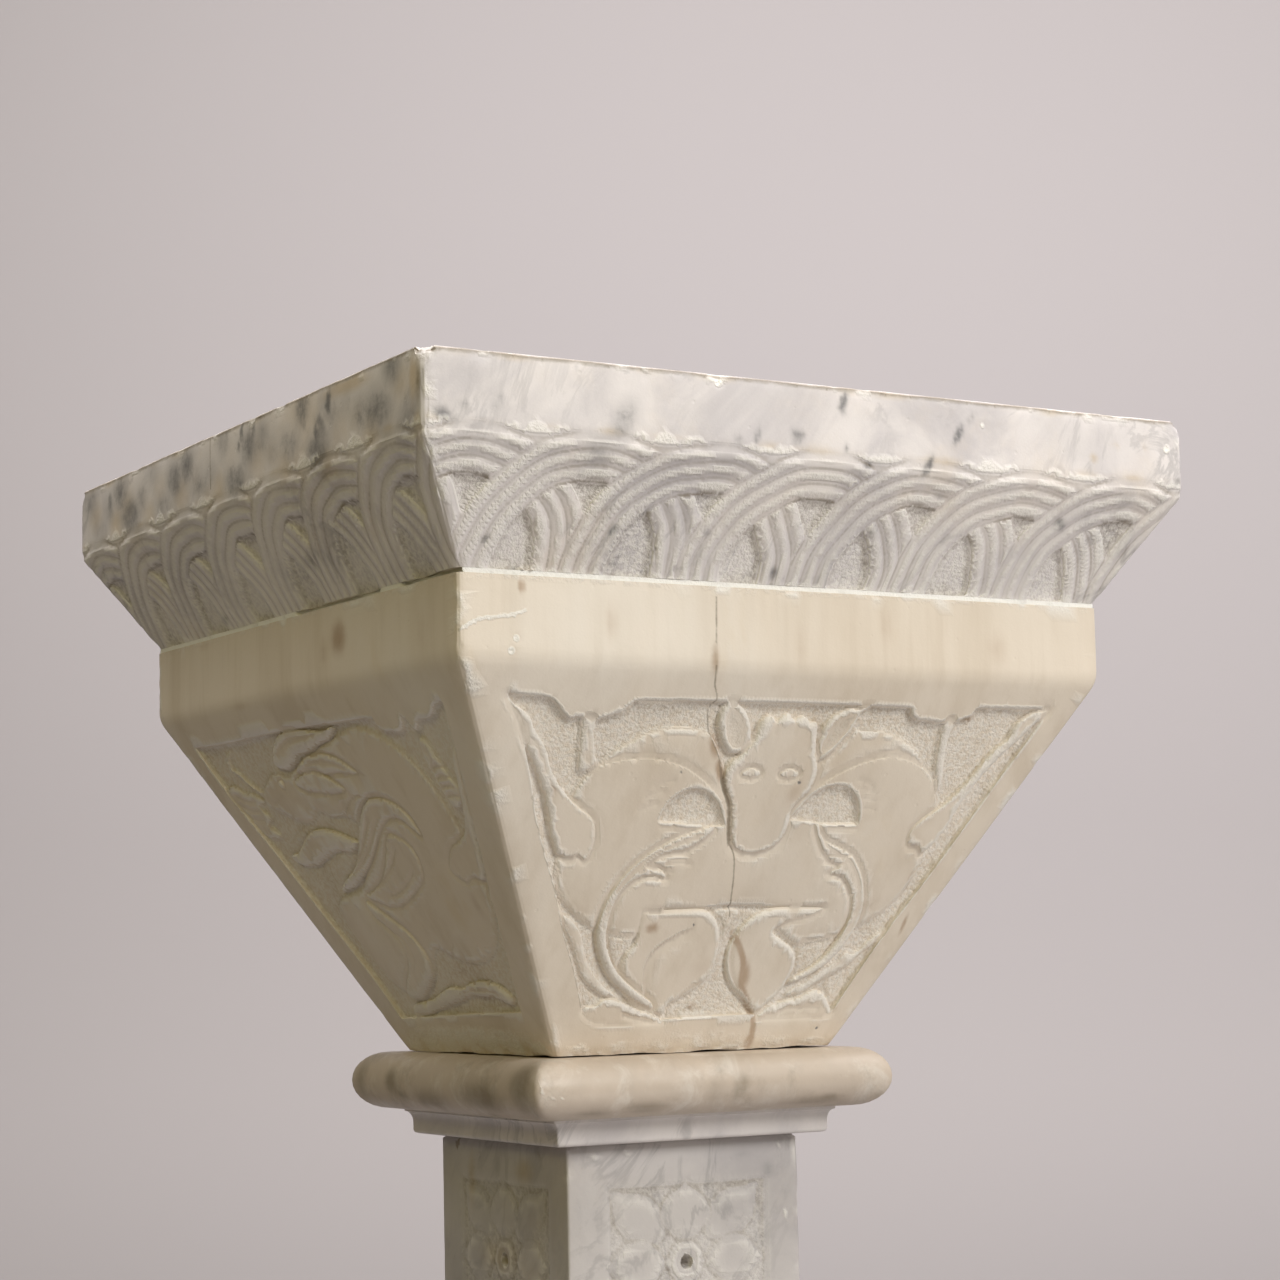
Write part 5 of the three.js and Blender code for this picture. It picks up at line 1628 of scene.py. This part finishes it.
def collar_marks(relief, left):
    """The smudges of the collar and the bruise on its near corner, in the two seen faces."""
    if left:
        relief.dabs("brown", COLLAR_SMUDGES_LEFT)
        return
    relief.dabs("brown", COLLAR_SMUDGES_FRONT)
    for centre, size in COLLAR_BRUISES:
        relief.dab("chalk_and_light", centre, size, 0, 0.75)
    relief.dab("chalk_and_light", (-86, 22), (5, 5), 0, 0.35)


class PEDESTAL_OT_collars(bpy.types.Operator):
    """Shape the two half-round collars, over the shaft and over the plinth"""

    bl_idname = "pedestal.collars"
    bl_label = "Collars"

    def execute(self, context):
        sizes = context.scene.pedestal_carving
        stone = stained_marble()
        for seed, node in enumerate(("astragal", "base_torus")):
            def carve(relief, quarter, marks=node == "astragal"):
                if marks and quarter % 3 == 0:
                    collar_marks(relief, quarter == 3)

            profile = nose_profile(node)
            piece = carved_block(node, profile, carve, COLLAR_CELLS, origin=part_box(node)[1].z,
                                 arris=sizes.arris * 0.8, wear=0.0008, bow=0.0007, seed=21 + seed)
            finish_piece(piece, [node], stone)
        return {"FINISHED"}


def hollow_profile(node, upside_down=False, lip=0.0012, steps=6, toe=0.0016):
    """A thin slab with a hollow over its wider edge and a rounded narrower edge, from foot to top."""
    rings = corner_profile(node)
    (foot, low), (head, high) = rings[0], rings[-1]
    narrow, wide = min(foot, head), max(foot, head)
    profile = [(wide, 0.0), (wide, lip)]
    span = (high - low) * 0.45
    for i in range(1, steps + 1):
        angle = math.pi / 2 * i / steps
        profile.append((wide - (wide - narrow) * math.sin(angle), lip + span * (1 - math.cos(angle))))
    for i in range(3):
        angle = math.pi / 2 * (0.5 * i)
        profile.append((narrow - toe * (1 - math.cos(angle)), high - low - toe * (1 - math.sin(angle))))
    if upside_down:
        return [(half, high - z) for half, z in reversed(profile)]
    return [(half, low + z) for half, z in profile]


class PEDESTAL_OT_slabs(bpy.types.Operator):
    """Shape the thin hollow-sided slabs at the two ends of the shaft"""

    bl_idname = "pedestal.slabs"
    bl_label = "Slabs"

    def execute(self, context):
        colours = context.scene.pedestal_colours
        pale = tuple(1.35 * c for c in colours.grey)
        stone = veined_marble("slab_marble", pale, 1.3, 0.5, 0.5, 0.2, 0.5)
        for seed, (node, flipped) in enumerate((("necking", True), ("base_slab", False))):
            profile = hollow_profile(node, flipped)
            piece = carved_block(node, profile, plain_carve, SLAB_CELLS, arris=0.0012, seed=31 + seed)
            finish_piece(piece, [node], stone)
        return {"FINISHED"}


class PEDESTAL_OT_shaft(bpy.types.Operator):
    """Carve the square shaft with its strip of worn rosettes on each face"""

    bl_idname = "pedestal.shaft"
    bl_label = "Shaft"

    def execute(self, context):
        sizes = context.scene.pedestal_carving
        low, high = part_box("shaft")
        profile = corner_profile("shaft")
        height = (high.z - low.z) / MM

        def carve(relief, quarter):
            rosettes(relief, sizes.rosette_ground / MM, height)
            if quarter % 3 == 0:
                shaft_marks(relief, quarter == 3)

        piece = carved_block("shaft", profile, carve, SHAFT_CELLS, origin=high.z,
                             arris=0.0018, wear=0.0008, bow=sizes.unevenness, drilled=1, seed=41)
        colours = context.scene.pedestal_colours
        marble = veined_marble("grey_marble", tuple(colours.grey), 0.9, 0.7, 0.6, 0.45, 0.45, chalk_and_light=0.6)
        finish_piece(piece, ["shaft"], marble)
        return {"FINISHED"}


class PEDESTAL_OT_plinth(bpy.types.Operator):
    """Shape the plinth with its sloping shoulders"""

    bl_idname = "pedestal.plinth"
    bl_label = "Plinth"

    def execute(self, context):
        sizes = context.scene.pedestal_carving
        piece = carved_block("plinth", corner_profile("plinth"), plain_carve, PLINTH_CELLS,
                             arris=sizes.arris, wear=0.0008, bow=sizes.unevenness, seed=51)
        colours = context.scene.pedestal_colours
        marble = veined_marble("plinth_marble", tuple(colours.grey), 0.8, 0.8, 0.6, 0.5, 0.4)
        finish_piece(piece, ["plinth"], marble)
        return {"FINISHED"}


class PEDESTAL_OT_joint(bpy.types.Operator):
    """Press the plaster bed joint under the abacus"""

    bl_idname = "pedestal.joint"
    bl_label = "Bed joint"

    def execute(self, context):
        low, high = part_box("mortar_bed")
        squeeze = 0.00022  # into the narrow gaps above and below
        profile = [(high.x, low.z - squeeze), (high.x, (low.z + high.z) / 2), (high.x, high.z + squeeze)]

        def carve(relief, quarter):
            """On the left the plaster has fallen out of the near half of the joint, but for one lump."""
            if quarter == 3:
                gone = (relief.x > 5) & ((relief.x < 88) | (relief.x > 110))
                relief.height = np.where(gone, -4.0, 0.0)

        piece = carved_block("mortar_bed", profile, carve, JOINT_CELLS,
                             arris=0.002, wear=0.0002, bow=0.0006, seed=61)
        finish_piece(piece, ["mortar_bed"], plaster_material())
        return {"FINISHED"}


class PEDESTAL_OT_fixings(bpy.types.Operator):
    """Finish the iron dowels and the plaster grout round them"""

    bl_idname = "pedestal.fixings"
    bl_label = "Dowels and grout"

    def execute(self, context):
        plaster, iron = plaster_material(), iron_material()
        for name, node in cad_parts.items():
            if "dowel" not in name:
                continue
            node.data.materials.clear()
            node.data.materials.append(plaster if "grout" in name else iron)
        return {"FINISHED"}


# The camera was fitted to the corners of the blocks in the photograph.
CAMERA_PLACE = (-0.6529, -1.1229)
CAMERA_DROP = 0.2299  # under the top of the column
CAMERA_YAW, CAMERA_PITCH, CAMERA_ROLL = (math.radians(degrees) for degrees in (-30.85, 6.32, -1.15))
ROOM_SIDE, ROOM_FRONT, ROOM_CURVE, ROOM_WALL, ROOM_TOP = -6, -5, 1.4, 2.4, 7
CURVE_STEPS = 12
PAINT_CLOUD, PAINT_SHADE = (0.6, 0.56, 0.54, 1), (0.05, 0.047, 0.045, 1)
SHADE_HEIGHT, SHADE_STRENGTH = 0.7, 0.42  # the backdrop darkens below this height, down to the floor
AIR_COLOUR, AIR_STRENGTH = (1.0, 0.87, 0.45, 1), 0.105


class PEDESTAL_OT_studio(bpy.types.Operator):
    """Set up the pale floor and wall, the soft lights and the camera"""

    bl_idname = "pedestal.studio"
    bl_label = "Studio"

    def execute(self, context):
        studio = context.scene.pedestal_studio
        self.backdrop(studio)
        self.lights(studio)
        self.camera(context.scene, studio)
        context.scene.view_settings.view_transform = "Standard"
        return {"FINISHED"}

    def backdrop(self, studio):
        """A pale floor that turns up into a wall far behind the column."""
        bm = bmesh.new()
        line = [Vector((ROOM_SIDE, ROOM_FRONT, 0)), Vector((ROOM_SIDE, ROOM_CURVE, 0))]
        for i in range(1, CURVE_STEPS + 1):
            angle = math.pi / 2 * i / CURVE_STEPS
            line.append(Vector((ROOM_SIDE, ROOM_CURVE + math.sin(angle), 1 - math.cos(angle))))
        line.append(Vector((ROOM_SIDE, ROOM_WALL, ROOM_TOP)))
        verts = [bm.verts.new(p) for p in line]
        edges = [bm.edges.new(pair) for pair in zip(verts, verts[1:])]
        made = bmesh.ops.extrude_edge_only(bm, edges=edges)["geom"]
        moved = [v for v in made if isinstance(v, bmesh.types.BMVert)]
        bmesh.ops.translate(bm, vec=(-2 * ROOM_SIDE, 0, 0), verts=moved)
        turn = Matrix.Rotation(CAMERA_YAW, 3, "Z")
        bmesh.ops.rotate(bm, cent=(0, 0, 0), matrix=turn, verts=bm.verts[:])
        mesh = bpy.data.meshes.new("backdrop")
        bm.to_mesh(mesh)
        bm.free()
        mesh.shade_smooth()
        wall = bpy.data.objects.new("backdrop", mesh)
        bpy.context.scene.collection.objects.link(wall)
        material, tree, place = begin("backdrop_paint")
        cloud = ranged(tree, noise_of(tree, place, 0.8, 2.0), 0.3, 0.7, 0.0, 0.06)
        base = mix(tree, cloud, rgba(studio.backdrop), PAINT_CLOUD)
        height = add(tree, "SeparateXYZ", {0: place}).outputs[2]
        base = mix(tree, ranged(tree, height, SHADE_HEIGHT, 0.0, 0.0, SHADE_STRENGTH), base, PAINT_SHADE)
        close(tree, base, 0.9, noise_of(tree, place, 40.0, 2.0), strength=0.02)
        mesh.materials.append(material)

    def lights(self, studio):
        """A large soft light, a warm one at the left, a low one, one on the wall and dim warm air."""
        top = CAD_BOX[1][2]
        crown, waist = Vector((0, 0, top - 0.15)), Vector((0, 0, top - 0.25))
        behind = Vector((1.3, 2.0, 0.5))

        def area(name, azimuth, elevation, distance, size, watts, tint, aim=crown):
            """A light that far from the place it is aimed at, seen from there in that direction."""
            data = bpy.data.lights.new(name, "AREA")
            data.shape = "RECTANGLE"
            data.size, data.size_y = size
            data.energy = watts
            data.color = tint
            lamp = bpy.data.objects.new(name, data)
            a, e = math.radians(azimuth), math.radians(elevation)
            toward = Vector((math.sin(a) * math.cos(e), -math.cos(a) * math.cos(e), math.sin(e)))
            lamp.location = aim + toward * distance
            lamp.rotation_mode = "QUATERNION"
            lamp.rotation_quaternion = toward.to_track_quat("Z", "Y")
            bpy.context.scene.collection.objects.link(lamp)

        area("key_softbox", 17, 26.5, 3.0, (1.15, 1.15), studio.key, (1.0, 0.985, 0.97))
        area("warm_fill", -55, 26, 2.0, (0.6, 0.6), studio.fill, (1.0, 0.89, 0.42), aim=waist)
        area("low_bounce", 14, -38, 1.6, (1.2, 1.2), studio.bounce, (1.0, 0.97, 0.95))
        area("wall_light", -25, 38, 2.9, (2.4, 1.4), studio.wall, (1.0, 0.965, 0.98), aim=behind)
        world = bpy.data.worlds.new("studio_air")
        bpy.context.scene.world = world
        world.use_nodes = True
        sky = world.node_tree.nodes["Background"]
        sky.inputs["Color"].default_value = AIR_COLOUR
        sky.inputs["Strength"].default_value = AIR_STRENGTH

    def camera(self, scene, studio):
        """The photograph's camera."""
        data = bpy.data.cameras.new("camera")
        data.lens = studio.lens
        data.sensor_width = 36.0
        data.clip_start, data.clip_end = 0.05, 50
        camera = bpy.data.objects.new("camera", data)
        camera.location = (*CAMERA_PLACE, CAD_BOX[1][2] - CAMERA_DROP)
        level = Euler((math.pi / 2 + CAMERA_PITCH, 0, CAMERA_YAW), "XYZ").to_matrix()
        camera.rotation_euler = (level @ Matrix.Rotation(CAMERA_ROLL, 3, "Z")).to_euler()
        scene.collection.objects.link(camera)
        scene.camera = camera


class PEDESTAL_PT_panel(bpy.types.Panel):
    """Lists the pieces and their settings"""

    bl_idname = "PEDESTAL_PT_panel"
    bl_label = "Marble pedestal"
    bl_space_type = "VIEW_3D"
    bl_region_type = "UI"
    bl_category = "Pedestal"

    def draw(self, context):
        for operator in OPERATORS:
            self.layout.operator(operator.bl_idname)
        for group in (getattr(context.scene, name) for name in GROUPS):
            box = self.layout.box()
            for name in group.bl_rna.properties.keys():
                if name not in {"rna_type", "name"}:
                    box.prop(group, name)


GROUPS = {
    "pedestal_carving": PEDESTAL_PG_carving,
    "pedestal_colours": PEDESTAL_PG_colours,
    "pedestal_studio": PEDESTAL_PG_studio,
}
OPERATORS = (
    PEDESTAL_OT_studio,
    PEDESTAL_OT_abacus,
    PEDESTAL_OT_joint,
    PEDESTAL_OT_capital,
    PEDESTAL_OT_collars,
    PEDESTAL_OT_slabs,
    PEDESTAL_OT_shaft,
    PEDESTAL_OT_plinth,
    PEDESTAL_OT_fixings,
)


def register():
    """Adds the settings, the operators and the panel."""
    for name, group in GROUPS.items():
        bpy.utils.register_class(group)
        setattr(bpy.types.Scene, name, PointerProperty(type=group))
    for cls in (*OPERATORS, PEDESTAL_PT_panel):
        bpy.utils.register_class(cls)


def unregister():
    """Takes the settings, the operators and the panel away again."""
    for cls in (PEDESTAL_PT_panel, *reversed(OPERATORS)):
        bpy.utils.unregister_class(cls)
    for name, group in GROUPS.items():
        delattr(bpy.types.Scene, name)
        bpy.utils.unregister_class(group)


def main():
    """Builds every piece and the studio."""
    register()
    for operator in OPERATORS:
        section, name = operator.bl_idname.split(".")
        getattr(getattr(bpy.ops, section), name)()


if __name__ == "__main__":
    main()
